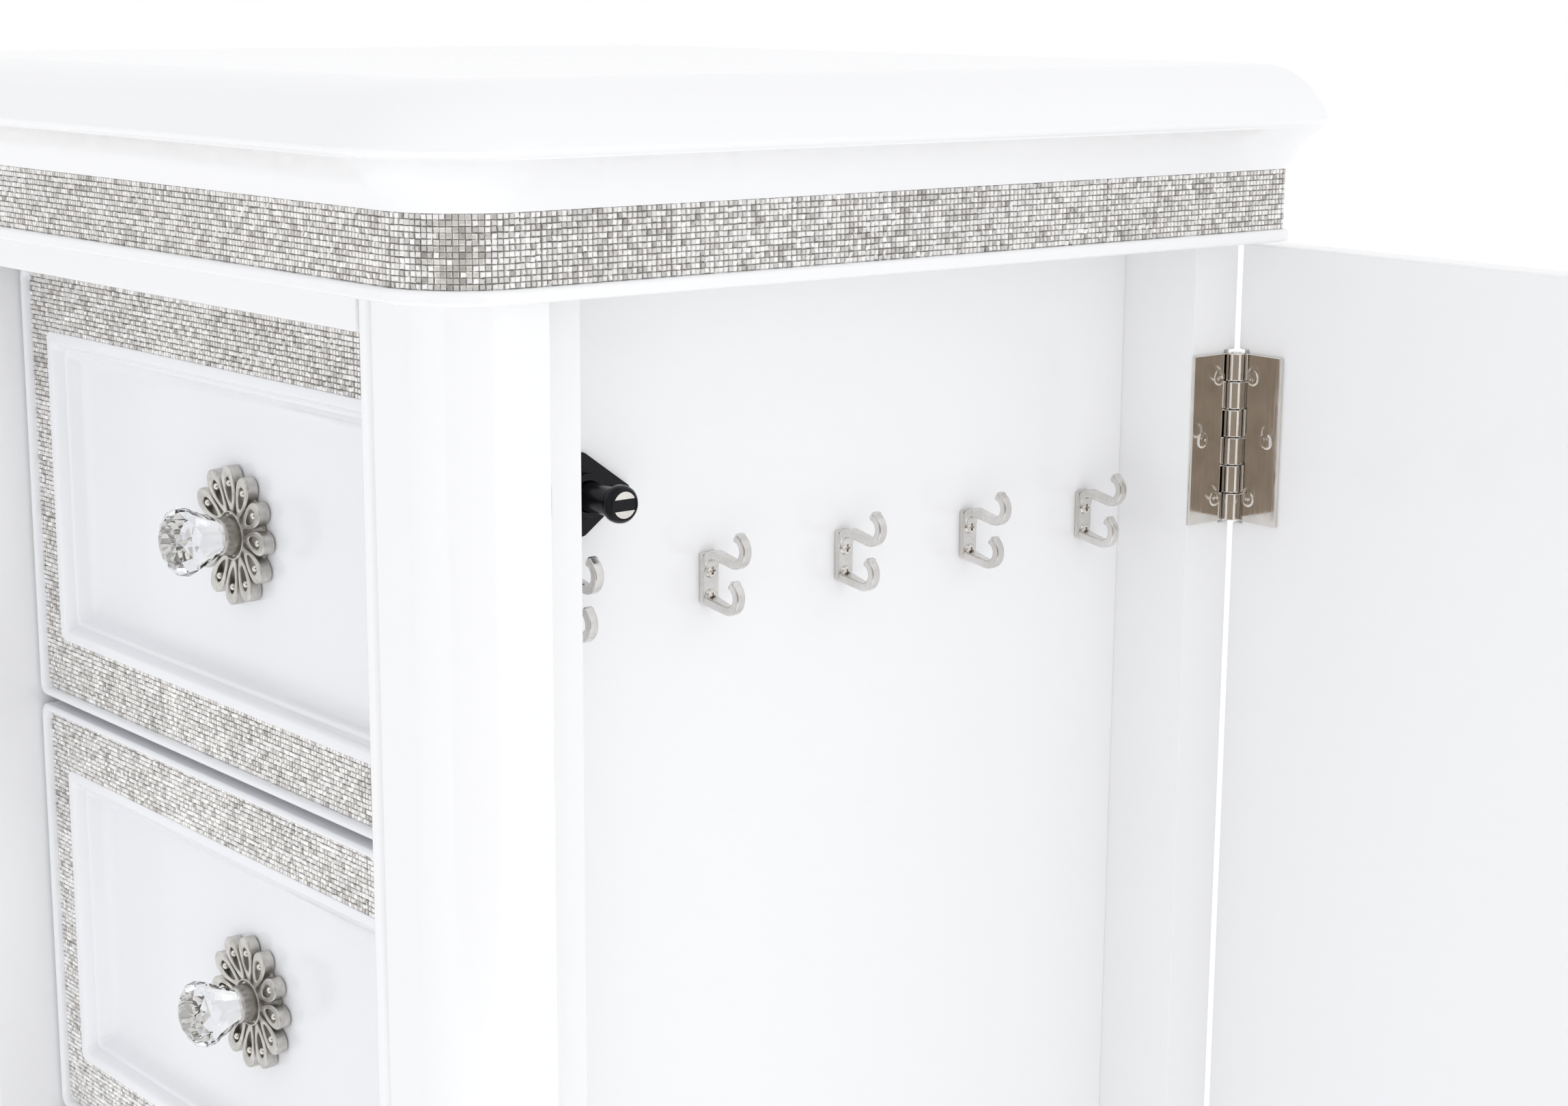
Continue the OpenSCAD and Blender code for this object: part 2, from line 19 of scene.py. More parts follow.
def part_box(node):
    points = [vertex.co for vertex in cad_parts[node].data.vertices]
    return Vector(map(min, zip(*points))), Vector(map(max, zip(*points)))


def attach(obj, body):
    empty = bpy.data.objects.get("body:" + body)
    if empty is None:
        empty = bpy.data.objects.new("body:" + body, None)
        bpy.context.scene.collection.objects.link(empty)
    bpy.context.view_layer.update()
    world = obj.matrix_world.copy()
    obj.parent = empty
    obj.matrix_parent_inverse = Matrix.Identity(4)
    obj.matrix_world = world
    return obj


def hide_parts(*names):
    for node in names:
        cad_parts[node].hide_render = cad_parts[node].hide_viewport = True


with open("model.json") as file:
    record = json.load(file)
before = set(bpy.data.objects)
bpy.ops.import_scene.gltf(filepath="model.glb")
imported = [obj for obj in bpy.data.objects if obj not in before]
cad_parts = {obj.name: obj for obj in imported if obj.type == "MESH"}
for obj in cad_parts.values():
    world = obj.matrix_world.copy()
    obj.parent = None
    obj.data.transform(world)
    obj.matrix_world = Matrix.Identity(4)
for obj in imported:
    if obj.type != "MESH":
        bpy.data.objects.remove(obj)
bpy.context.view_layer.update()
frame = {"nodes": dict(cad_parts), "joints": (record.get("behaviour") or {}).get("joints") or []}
mm = 0.001

# %% [markdown]
# ## Sizes
# Sizes could be typed in again, but then they could drift from the drawing. So
# they are read from the boxes of the CAD nodes wherever a box gives them, and
# only the sizes hidden inside a shape are written here.

# %% Read the sizes
band_low, band_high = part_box("frieze_stone_band")
top_low, base_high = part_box("top_panel")[0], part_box("base_panel")[1]
panel_low, panel_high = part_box("hook_panel_right")
stile_low, stile_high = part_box("back_stile_right")
post_low, post_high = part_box("front_post_right")
shut_low, shut_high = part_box("door_left")
door_low, door_high = -shut_high.x, -shut_low.x

half_w, back_y, front_y = band_high.x, band_high.y, band_low.y
corner_r = 30 * mm
stone_t = 1.2 * mm
lip_z = post_high.z
base_top = post_low.z
panel_x = panel_high.x
hinge = next(j for j in frame["joints"] if j["name"] == "right_door_hinge")
pin_x, pin_y = hinge["pos_m"][0], hinge["pos_m"][1]
door_open = -math.radians(hinge["range_deg"][0])
hinge_heights = [1006 * mm, 599.5 * mm, 193 * mm]
hinge_h = 70 * mm
drawers = range(1, 6)
print("door stands open by", round(math.degrees(door_open), 1), "degrees")

# %% [markdown]
# ## The camera
# The view is a close one, from the right of the front and a little above, so
# that the corner, two drawers and the open side compartment fill the frame. A
# lens of about 62 mm keeps the verticals calm. The camera is placed by its
# point and its three turns, because a real tripod is set in the same way.

# %% Place the camera
camera_data = bpy.data.cameras.new("camera")
camera_data.sensor_width = 36
camera_data.lens = 61.92
camera_data.clip_start = 0.01
camera = bpy.data.objects.new("camera", camera_data)
bpy.context.scene.collection.objects.link(camera)
camera_at = (0.9218, -0.6562, 1.1846)
yaw, down, roll = math.radians(49.62), math.radians(11.73), math.radians(0.35)
camera.matrix_world = (Matrix.Translation(camera_at)
                       @ Matrix.Rotation(yaw, 4, "Z")
                       @ Matrix.Rotation(math.pi / 2 - down, 4, "X")
                       @ Matrix.Rotation(roll, 4, "Z"))
bpy.context.scene.camera = camera
print("camera at", [round(v, 3) for v in camera.location])

# %% [markdown]
# ## Finishes: the shared effects
# A finish is never one flat colour. Sprayed lacquer has a faint ripple and
# drifts in tone, plated metal has blotches and fine polishing lines. Each such
# effect is a small node group with named inputs, built once, because several
# finishes use it with their own numbers.

# %% Helpers for nodes
def add(tree, kind, links=None, **settings):
    """Adds a node, sets its settings, and links or sets its inputs."""
    made = tree.nodes.new(kind)
    for key, value in settings.items():
        setattr(made, key, value)
    for socket, value in (links or {}).items():
        if isinstance(value, bpy.types.NodeSocket):
            tree.links.new(value, made.inputs[socket])
        else:
            made.inputs[socket].default_value = value
    return made


def effect(name, inputs):
    """A node group that puts out a colour, a roughness and a height."""
    group = bpy.data.node_groups.new(name, "ShaderNodeTree")
    for label, kind, value in inputs:
        socket = group.interface.new_socket(
            name=label, in_out="INPUT", socket_type="NodeSocket" + kind)
        socket.default_value = value
    for label, kind in (("Color", "Color"), ("Roughness", "Float"), ("Height", "Float")):
        group.interface.new_socket(
            name=label, in_out="OUTPUT", socket_type="NodeSocket" + kind)
    given = add(group, "NodeGroupInput").outputs
    return group, given, add(group, "NodeGroupOutput").inputs


def noise(tree, scale, detail=2, vector=None):
    """Object-space noise, or noise over a given vector."""
    if vector is None:
        vector = add(tree, "ShaderNodeTexCoord").outputs["Object"]
    return add(tree, "ShaderNodeTexNoise",
               {"Vector": vector, "Scale": scale, "Detail": detail}).outputs["Fac"]


def spread(tree, value, low, high):
    """Maps the useful middle of a noise onto low to high."""
    return add(tree, "ShaderNodeMapRange", {"Value": value, "From Min": 0.3,
               "From Max": 0.7, "To Min": low, "To Max": high}).outputs["Result"]


def mixed(tree, factor, first, second):
    """Mixes two colours."""
    made = add(tree, "ShaderNodeMix", data_type="RGBA")
    for index, value in ((0, factor), (6, first), (7, second)):
        if isinstance(value, bpy.types.NodeSocket):
            tree.links.new(value, made.inputs[index])
        else:
            made.inputs[index].default_value = value
    return made.outputs[2]


print("node helpers: add, effect, noise, spread and mixed")

# %% [markdown]
# ### Sprayed coat, metal, cloth and stones
# The sprayed coat drifts slowly between two tones and carries a ripple like
# the skin of an orange. The metal effect stretches its noise along one way,
# which reads as polishing lines, and darkens in blotches. Cloth uses two sizes
# of noise for its nap. The stones read a tone that every stone carries as an
# attribute, so that neighbours differ as cut glass does.

# %% Build the effects
def put_out(group, given, out, colour, rub, height):
    """Links an effect's colour, its gloss plus some rub, and its height."""
    group.links.new(colour, out["Color"])
    rough = add(group, "ShaderNodeMath", {0: given["Gloss"], 1: rub}, operation="ADD")
    group.links.new(rough.outputs[0], out["Roughness"])
    group.links.new(height, out["Height"])
    return group


def build_coat():
    group, given, out = effect("sprayed_coat", [
        ("Color", "Color", (1, 1, 1, 1)), ("Shade", "Color", (0.9, 0.9, 0.9, 1)),
        ("Gloss", "Float", 0.2), ("Ripple", "Float", 220.0)])
    drift = spread(group, noise(group, 2.5), 0, 1)
    rub = spread(group, noise(group, 34, 5), -0.03, 0.05)
    return put_out(group, given, out, mixed(group, drift, given["Color"], given["Shade"]),
                   rub, noise(group, given["Ripple"], 1))


def build_metal():
    group, given, out = effect("worn_metal", [
        ("Color", "Color", (0.8, 0.8, 0.8, 1)), ("Dark", "Color", (0.4, 0.4, 0.4, 1)),
        ("Gloss", "Float", 0.2), ("Lines", "Vector", (900, 900, 60)),
        ("Blotch", "Float", 90.0)])
    place = add(group, "ShaderNodeTexCoord").outputs["Object"]
    lined = add(group, "ShaderNodeVectorMath", {0: place, 1: given["Lines"]},
                operation="MULTIPLY").outputs[0]
    lines = noise(group, 1, 2, lined)
    blotch = spread(group, noise(group, given["Blotch"], 3), 0, 1)
    rub = spread(group, lines, -0.04, 0.08)
    return put_out(group, given, out, mixed(group, blotch, given["Color"], given["Dark"]),
                   rub, lines)


def build_cloth():
    group, given, out = effect("nap", [
        ("Color", "Color", (0.5, 0.5, 0.5, 1)), ("Dark", "Color", (0.3, 0.3, 0.3, 1)),
        ("Gloss", "Float", 0.9), ("Nap", "Float", 1500.0)])
    patch = spread(group, noise(group, 40, 4), 0, 1)
    rub = spread(group, noise(group, 300), -0.05, 0.05)
    return put_out(group, given, out, mixed(group, patch, given["Color"], given["Dark"]),
                   rub, noise(group, given["Nap"], 1))


def build_stones():
    group, given, out = effect("stone_tone", [
        ("Color", "Color", (1, 1, 1, 1)), ("Dark", "Color", (0.3, 0.3, 0.3, 1)),
        ("Gloss", "Float", 0.1)])
    tone = add(group, "ShaderNodeAttribute", attribute_name="tone").outputs["Fac"]
    rub = spread(group, noise(group, 600), -0.03, 0.06)
    return put_out(group, given, out, mixed(group, tone, given["Dark"], given["Color"]),
                   rub, noise(group, 1400, 1))


coat, metal, cloth, stone_tone = build_coat(), build_metal(), build_cloth(), build_stones()
print("effects:", [g.name for g in (coat, metal, cloth, stone_tone)])

# %% [markdown]
# ### The finishes themselves
# Every finish is one shader with one effect plugged in. Numbers that are the
# same all over, such as how metallic it is, sit on the shader's own sockets.

# %% Make the finishes
def finish(name, group, bump, values, **plain):
    """A material: an effect feeds colour, roughness and bump of one shader."""
    made = bpy.data.materials.new(name)
    made.use_nodes = True
    tree = made.node_tree
    tree.nodes.clear()
    skin = add(tree, "ShaderNodeBsdfPrincipled")
    add(tree, "ShaderNodeOutputMaterial", {"Surface": skin.outputs[0]})
    look = add(tree, "ShaderNodeGroup", node_tree=group)
    for socket, value in values.items():
        look.inputs[socket].default_value = value
    tree.links.new(look.outputs["Color"], skin.inputs["Base Color"])
    tree.links.new(look.outputs["Roughness"], skin.inputs["Roughness"])
    lumps = add(tree, "ShaderNodeBump", {"Height": look.outputs["Height"],
                "Strength": bump, "Distance": 0.1 * mm})
    tree.links.new(lumps.outputs[0], skin.inputs["Normal"])
    for socket, value in plain.items():
        skin.inputs[socket.replace("_", " ")].default_value = value
    return made


def tint(red, green, blue):
    return (red, green, blue, 1)


white_lacquer = finish("white_lacquer", coat, 0.015, {
    "Color": tint(0.962, 0.965, 0.974), "Shade": tint(0.953, 0.957, 0.967), "Gloss": 0.16},
    Coat_Weight=0.35, Coat_Roughness=0.05)
# The drawers get a darker, bluer copy of the white lacquer: painted shade for the drawer fronts
# set back between the posts.
drawer_lacquer = finish("drawer_lacquer", coat, 0.02, {
    "Color": tint(0.915, 0.925, 0.95), "Shade": tint(0.9, 0.912, 0.94), "Gloss": 0.2},
    Coat_Weight=0.3, Coat_Roughness=0.06)
cut_stones = finish("cut_stones", stone_tone, 0.02, {
    "Color": tint(0.99, 0.983, 0.972), "Dark": tint(0.44, 0.425, 0.405), "Gloss": 0.1},
    Metallic=0.55)
stone_mesh_backing = finish("stone_mesh_backing", cloth, 0.5, {
    "Color": tint(0.27, 0.252, 0.23), "Dark": tint(0.18, 0.168, 0.153), "Gloss": 0.6})
bright_nickel = finish("bright_nickel", metal, 0.02, {
    "Color": tint(0.8, 0.77, 0.73), "Dark": tint(0.7, 0.67, 0.63), "Gloss": 0.08},
    Metallic=1.0)
satin_nickel = finish("satin_nickel", metal, 0.08, {
    "Color": tint(0.77, 0.755, 0.735), "Dark": tint(0.64, 0.625, 0.6), "Gloss": 0.24},
    Metallic=1.0)
antique_nickel = finish("antique_nickel", metal, 0.12, {
    "Color": tint(0.7, 0.685, 0.65), "Dark": tint(0.5, 0.485, 0.455), "Gloss": 0.32,
    "Blotch": 260.0}, Metallic=1.0)
rosette_recess = finish("rosette_recess", metal, 0.2, {
    "Color": tint(0.52, 0.505, 0.475), "Dark": tint(0.32, 0.31, 0.29), "Gloss": 0.4,
    "Blotch": 260.0}, Metallic=0.9)
cut_crystal = finish("cut_crystal", coat, 0.0, {
    "Color": tint(0.985, 0.99, 1.0), "Shade": tint(0.96, 0.97, 0.985), "Gloss": 0.03},
    Transmission_Weight=1.0, IOR=1.52)
black_gloss = finish("black_gloss", coat, 0.05, {
    "Color": tint(0.004, 0.004, 0.006), "Shade": tint(0.007, 0.007, 0.009), "Gloss": 0.2},
    Specular_IOR_Level=0.22)
painted_board = finish("painted_board", coat, 0.25, {
    "Color": tint(0.84, 0.84, 0.84), "Shade": tint(0.8, 0.8, 0.79), "Gloss": 0.48})
grey_felt = finish("grey_felt", cloth, 1.0, {
    "Color": tint(0.42, 0.42, 0.44), "Dark": tint(0.35, 0.35, 0.37), "Gloss": 0.92},
    Sheen_Weight=0.5)
pale_floor = finish("pale_floor", coat, 0.02, {
    "Color": tint(0.97, 0.97, 0.97), "Shade": tint(0.965, 0.965, 0.965), "Gloss": 0.7},
    Emission_Color=tint(1, 1, 1), Emission_Strength=0.09)
print("finishes:", len(bpy.data.materials))

# %% [markdown]
# ## Hanging the pieces on the frame
# Each finished shape becomes one object that moves with a CAD body and stands
# for one or more CAD nodes. Doubles are merged first and the faces are then
# turned outwards, because mirrored and spun shapes come out inside out.

# %% Helpers that finish a piece
right_to_left = Matrix.Diagonal((-1, 1, 1, 1))
swing_open = (Matrix.Translation((pin_x, pin_y, 0)) @ Matrix.Rotation(door_open, 4, "Z")
              @ Matrix.Translation((-pin_x, -pin_y, 0)))


def piece(name, bm, body, nodes, slot, *finishes, sharp=32, place=None):
    """Turns a bmesh into an object that rides on a body. Broad faces keep flat normals."""
    if place is not None:
        bm.transform(place)
    bmesh.ops.remove_doubles(bm, verts=bm.verts, dist=0.5e-6)
    bmesh.ops.recalc_face_normals(bm, faces=bm.faces)
    mesh = bpy.data.meshes.new(name)
    bm.to_mesh(mesh)
    bm.free()
    for look in finishes:
        mesh.materials.append(look)
    mesh.shade_smooth()
    mesh.set_sharp_from_angle(angle=math.radians(sharp))
    made = bpy.data.objects.new(name + "_finished", mesh)
    bpy.context.scene.collection.objects.link(made)
    if sharp > 5:
        made.modifiers.new("flat_stays_flat", "WEIGHTED_NORMAL").keep_sharp = True
    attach(made, body)
    if nodes:
        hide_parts(*nodes)
    print(f"{name}: {len(mesh.polygons)} faces on {body}")


def both_sides(name, draw, bodies, nodes, slot, *finishes, open_right=False):
    """Draws a right-hand piece, and the same piece mirrored to the left."""
    for side in ("right", "left"):
        bm = bmesh.new()
        draw(bm)
        turn = swing_open if side == "right" and open_right else Matrix.Identity(4)
        turn = turn if side == "right" else right_to_left
        piece(f"{name}_{side}", bm, bodies[side], [n + "_" + side for n in nodes],
              slot, *finishes, place=turn)


print("a piece rides on its body and replaces its CAD nodes")

# %% [markdown]
# ### Copies, pairs and the set
# Some pieces repeat a small shape, and some hold both the left and the right
# half. A mesh copy of the shape, moved and read back in, serves for both. The
# floor and the board beside the camera are staged, so they stay out of the part.

# %% Helpers for copies and for the set
def stamp(bm, part, place):
    """Adds a copy of one bmesh to another, moved by place."""
    mesh = bpy.data.meshes.new("stamp")
    part.to_mesh(mesh)
    mesh.transform(place)
    bm.from_mesh(mesh)
    bpy.data.meshes.remove(mesh)


def cabinet_pair(name, draw, slot, look):
    """Draws a right-hand piece and its mirror image into one object."""
    bm = bmesh.new()
    draw(bm)
    one = bm.copy()
    stamp(bm, one, right_to_left)
    one.free()
    piece(name, bm, "cabinet", [name], slot, look)


def staged(name, bm, look):
    """Turns a bmesh into an object of the set, which isn't part of the model."""
    mesh = bpy.data.meshes.new(name)
    bm.to_mesh(mesh)
    bm.free()
    mesh.materials.append(look)
    made = bpy.data.objects.new(name, mesh)
    bpy.context.scene.collection.objects.link(made)
    return made


on_cabinet = {"right": "cabinet", "left": "cabinet"}
on_doors = {"right": "right_door", "left": "left_door"}
on_plungers = {"right": "right_plunger", "left": "left_plunger"}
print("bodies with a left and a right:", *on_doors.values(), *on_plungers.values())

# %% [markdown]
# ## Mouldings that run round three sides
# The top, the base and the frieze all carry a moulding along the front and both
# sides, with a plain back. A joiner runs such a moulding from one cutter. Here
# the cutter's profile is a wire at the back right corner. It is pushed along
# the side, spun round the corner, pushed along the front and so on, which keeps
# the profile true all the way.

# %% Helpers that push edges and faces
def only(geometry, kind):
    """Keeps the vertices, the edges or the faces of a result."""
    return [g for g in geometry if isinstance(g, kind)]


def push(bm, edges, by):
    """Extrudes edges along a vector. Gives the moved vertices and edges."""
    grown = bmesh.ops.extrude_edge_only(bm, edges=edges)["geom"]
    moved = only(grown, bmesh.types.BMVert)
    bmesh.ops.translate(bm, verts=moved, vec=by)
    return moved, [e for e in only(grown, bmesh.types.BMEdge)
                   if all(v in moved for v in e.verts)]


def thicken(bm, faces, by):
    """Pushes a flat shape out into a solid."""
    grown = bmesh.ops.extrude_face_region(bm, geom=faces, use_keep_orig=True)["geom"]
    bmesh.ops.translate(bm, verts=only(grown, bmesh.types.BMVert), vec=by)


print("push makes walls from edges, thicken makes solids from faces")

# %% [markdown]
# ### Once round the case
# The cutter's path has five legs: side, corner, front, corner, side. Pushes and
# quarter-turn spins follow one another, and the openings at the back are then
# filled.

# %% Run a profile round three sides
def arc(centre, radius, start, end, steps):
    """Points on an arc, with angles in degrees."""
    return [(centre[0] + radius * math.cos(math.radians(start + (end - start) * i / steps)),
             centre[1] + radius * math.sin(math.radians(start + (end - start) * i / steps)))
            for i in range(steps + 1)]


def run_round(profile, z, upside_down=False, ring=False):
    """Sweeps (out, up) points in mm round three sides, as a slab or as a thin ring."""
    bm = bmesh.new()
    sign = -1 if upside_down else 1
    verts = [bm.verts.new((half_w + out * mm, back_y, z + sign * up * mm))
             for out, up in profile]
    levels = () if ring else (verts[0].co.z, verts[-1].co.z)
    edges = [bm.edges.new(pair) for pair in zip(verts, verts[1:])]
    if ring:
        edges.append(bm.edges.new((verts[-1], verts[0])))
    axis_x, axis_y = half_w - corner_r, front_y + corner_r

    def corner(edges, at_x):
        grown = bmesh.ops.spin(bm, geom=edges, cent=(at_x, axis_y, 0), axis=(0, 0, -1),
                               angle=math.pi / 2, steps=14, dvec=(0, 0, 0),
                               use_duplicate=False)["geom_last"]
        return only(grown, bmesh.types.BMEdge)

    edges = push(bm, edges, (0, axis_y - back_y, 0))[1]
    edges = corner(edges, axis_x)
    edges = push(bm, edges, (-2 * axis_x, 0, 0))[1]
    edges = corner(edges, -axis_x)
    push(bm, edges, (0, back_y - axis_y, 0))
    bmesh.ops.remove_doubles(bm, verts=bm.verts, dist=1e-7)
    # Straight lines across the back leave three flat openings to fill
    for level in levels:
        ends = [v for v in bm.verts if abs(v.co.z - level) < 1e-6
                and abs(v.co.y - back_y) < 1e-6 and v.is_boundary]
        ends = [min(ends, key=lambda v: v.co.x), max(ends, key=lambda v: v.co.x)]
        across = bm.edges.new(ends)
        rim = [e for e in bm.edges if e.is_boundary
               and all(abs(v.co.z - level) < 1e-6 for v in e.verts)]
        bmesh.ops.contextual_create(bm, geom=rim + [across])
    bmesh.ops.holes_fill(bm, edges=[e for e in bm.edges if e.is_boundary])
    return bm


print("a profile runs", round(2 * (back_y - front_y + half_w), 3), "m round the corners")

# %% [markdown]
# ## The top and the base
# From below, the top's profile is a hollow cove, a small quirk, a short upright
# nose, and a long low crown that dies into the flat top. The base is the same
# moulding turned over, which is how such cases are usually made.

# %% Make the top and the base
moulding_h, crown_w, crown_h = 41, 34, 20  # these sizes are in mm
cove_w, cove_h, cove_r = 18.2, 17.4, 45
crown_r = (crown_w ** 2 + crown_h ** 2) / (2 * crown_h)
crown_end = math.degrees(math.asin(crown_w / crown_r))
chord = math.hypot(cove_w, cove_h)
sink = math.sqrt(cove_r ** 2 - chord ** 2 / 4)
cove_x, cove_z = cove_w / 2 + sink * cove_h / chord, cove_h / 2 - sink * cove_w / chord
cove_start = math.degrees(math.atan2(-cove_z, -cove_x))
cove_end = math.degrees(math.atan2(cove_h - cove_z, cove_w - cove_x))
quirk_and_nose = [(18.3, 18.0), (18.9, 18.5), (19.4, 18.9), (19.8, 19.5), (20, 20.2),
                  (20, 21)]
moulding = (arc((cove_x, cove_z), cove_r, cove_start, cove_end, 12) + quirk_and_nose
            + arc((-14, moulding_h - crown_r), crown_r, 90 - crown_end, 90, 16)[1:])
piece("top_panel", run_round(moulding, top_low.z), "cabinet", ["top_panel"],
      "lacquer", white_lacquer)
piece("base_panel", run_round(moulding, base_high.z, upside_down=True), "cabinet",
      ["base_panel"], "lacquer", white_lacquer)

# %% [markdown]
# ## The frieze board and its lip
# Under the band of stones a lip stands out by two millimetres. Its nose is
# rounded, and the board above it is set back by the thickness of the stones.

# %% Make the frieze board
frieze = (arc((0.6, 1.4), 1.4, -90, 0, 5) + arc((0.6, 3.6), 1.4, 0, 90, 5)
          + [(-1.2, 5.05), (-1.2, 29)])
piece("frieze_board", run_round(frieze, lip_z), "cabinet", ["frieze_board"],
      "lacquer", white_lacquer)

# %% [markdown]
# ## Boards
# Stiles, panels, rails and doors are flat boards with eased arrises. A cube
# stretched to the board's size and bevelled gives that in two steps.

# %% Helpers for boards
def block(bm, low, high):
    """A plain box from low to high."""
    low, high = Vector(low), Vector(high)
    verts = bmesh.ops.create_cube(bm, size=1)["verts"]
    bmesh.ops.scale(bm, vec=high - low, verts=verts)
    bmesh.ops.translate(bm, vec=(low + high) / 2, verts=verts)
    return verts


def ease_edges(bm, edges, ease):
    """Takes the sharpness off edges, as sandpaper does."""
    bmesh.ops.bevel(bm, geom=edges, offset=ease, segments=2, profile=0.5, material=-1,
                    affect="EDGES", clamp_overlap=True)


def round_corners(bm, corners, radius, segments=3):
    """Rounds the corners of a flat outline."""
    bmesh.ops.bevel(bm, geom=corners, offset=radius, segments=segments, profile=0.5,
                    material=-1, affect="VERTICES", clamp_overlap=True)


def board(bm, low, high, ease, look=0):
    """A box from low to high with eased edges."""
    edges = list({e for v in block(bm, low, high) for e in v.link_edges})
    for face in {f for e in edges for f in e.link_faces}:
        face.material_index = look
    ease_edges(bm, edges, ease)


print("an eased board has rounded arrises and flat faces")

# %% [markdown]
# ### Notches for the hinges
# The boards that carry hinges have a corner cut out for each knuckle. Planes
# slice the board, the skin inside the cut is removed, and four faces close it.
# A boolean would do the same, but the slices keep the mesh simple.

# %% Helpers that cut the notches
def cut_corner(bm, inner, outer, low, high):
    """Cuts an upright notch out of a board's corner, between two heights."""
    for where, normal in (((0, 0, low), (0, 0, 1)), ((0, 0, high), (0, 0, 1)),
                          ((inner[0], 0, 0), (1, 0, 0)), ((0, inner[1], 0), (0, 1, 0))):
        bmesh.ops.bisect_plane(bm, geom=bm.verts[:] + bm.edges[:] + bm.faces[:],
                               dist=1e-7, plane_co=where, plane_no=normal)
    x_range, y_range = sorted((inner[0], outer[0])), sorted((inner[1], outer[1]))

    def inside(point):
        return (x_range[0] - 1e-6 < point.x < x_range[1] + 1e-6
                and y_range[0] - 1e-6 < point.y < y_range[1] + 1e-6
                and low < point.z < high)

    skin = [f for f in bm.faces if inside(f.calc_center_median())]
    bmesh.ops.delete(bm, geom=skin, context="FACES")

    def at(x, y, z):
        for v in bm.verts:
            if (v.co - Vector((x, y, z))).length < 1e-6:
                return v
        return bm.verts.new((x, y, z))

    for z in (low, high):
        bm.faces.new([at(*inner, z), at(outer[0], inner[1], z), at(*outer, z),
                      at(inner[0], outer[1], z)])
    for x, y in ((inner[0], outer[1]), (outer[0], inner[1])):
        bm.faces.new([at(*inner, low), at(x, y, low), at(x, y, high), at(*inner, high)])


def hinged_board(bm, low, high, inner, outer, ease):
    """A board with a notch for every hinge, and eased arrises."""
    block(bm, low, high)
    half_notch = hinge_h / 2 + 1 * mm
    for z in hinge_heights:
        cut_corner(bm, inner, outer, z - half_notch, z + half_notch)
    bmesh.ops.dissolve_limit(bm, angle_limit=0.02, verts=bm.verts, edges=bm.edges)
    bmesh.ops.recalc_face_normals(bm, faces=bm.faces)
    sharp = [e for e in bm.edges if len(e.link_faces) == 2 and e.calc_face_angle() > 0.5]
    ease_edges(bm, sharp, ease)


print("notches at heights", hinge_heights)

# %% [markdown]
# ## Stiles, panels, rail and back
# These boards close the case behind the drawers and the compartments.

# %% Make the case boards
notch = 5 * mm


def draw_stile(bm):
    hinged_board(bm, stile_low, stile_high, (pin_x - notch, pin_y - notch),
                 (stile_high.x, stile_high.y), 0.5 * mm)


def draw_hook_panel(bm):
    board(bm, panel_low, panel_high, 0.4 * mm)


both_sides("back_stile", draw_stile, on_cabinet, ["back_stile"], "lacquer", white_lacquer)
both_sides("hook_panel", draw_hook_panel, on_cabinet, ["hook_panel"], "lacquer",
           white_lacquer)
for node, ease in (("header_rail", 0.8 * mm), ("back_panel", 0.4 * mm)):
    bm = bmesh.new()
    board(bm, *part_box(node), ease)
    piece(node, bm, "cabinet", [node], "lacquer", white_lacquer)

# %% [markdown]
# ## Front posts
# In plan a post has a bead and a groove beside the drawers, a flat front, a
# large rounded corner, a side face, a rabbet that the door closes into and a
# jamb. One outline, pushed straight up, gives all of them.

# %% Make the front posts
post_outline = ([(161, -156)] + arc((164.5, -190.5), 3.5, 180, 360, 10)
                + [(168, -191.5), (170.5, -191.5), (170.5, -193.4), (171.1, -194)]
                + arc((192, -168), 26, -90, 0, 20)
                + [(218, -156.8), (217.2, -156), (199, -156), (199, -131),
                   (149, -131), (149, -142), (161, -142)])


def draw_post(bm):
    outline = bm.faces.new([bm.verts.new((x * mm, y * mm, base_top))
                            for x, y in post_outline])
    thicken(bm, [outline], (0, 0, lip_z - base_top))


both_sides("front_post", draw_post, on_cabinet, ["front_post"], "lacquer", white_lacquer)

# %% [markdown]
# ## Side doors
# Each door is a plain slab with eased edges and notches round the knuckles. The
# right one is drawn shut and then swung to where it stands.

# %% Make the doors
def draw_door(bm):
    low, high = (door_low, *shut_low.yz), (door_high, *shut_high.yz)
    hinged_board(bm, low, high, (pin_x + notch, pin_y - notch),
                 (low[0], high[1]), 1.0 * mm)


both_sides("door", draw_door, on_doors, ["door"], "lacquer", white_lacquer,
           open_right=True)

# %% [markdown]
# ## Turned pieces
# Feet, ferrules, the latch's plunger and the strikes are all turned on a lathe.
# A profile of distance along the axis against radius is spun a full turn.

# %% A helper that turns a profile
def turned(bm, profile, place, steps=32, look=0):
    """Spins (along, radius) points in mm about Z, then moves them by place."""
    verts = [bm.verts.new((radius * mm, 0, along * mm)) for along, radius in profile]
    edges = [bm.edges.new(pair) for pair in zip(verts, verts[1:])]
    before = set(bm.verts) - set(verts)
    bmesh.ops.spin(bm, geom=verts + edges, cent=(0, 0, 0), axis=(0, 0, 1), dvec=(0, 0, 0),
                   angle=2 * math.pi, steps=steps, use_merge=True, use_duplicate=False)
    spun = [v for v in bm.verts if v not in before]
    bmesh.ops.remove_doubles(bm, verts=spun, dist=1e-7)
    made = [v for v in bm.verts if v not in before]
    for face in {f for v in made for f in v.link_faces}:
        face.material_index = look
    bmesh.ops.transform(bm, matrix=place, verts=made)


def facing(x, y, z, way):
    """A place whose own Z points out along way."""
    turn = Vector(way).to_track_quat("Z", "Y").to_matrix().to_4x4()
    return Matrix.Translation((x, y, z)) @ turn


print("the lathe turns 32 steps unless it is told otherwise")

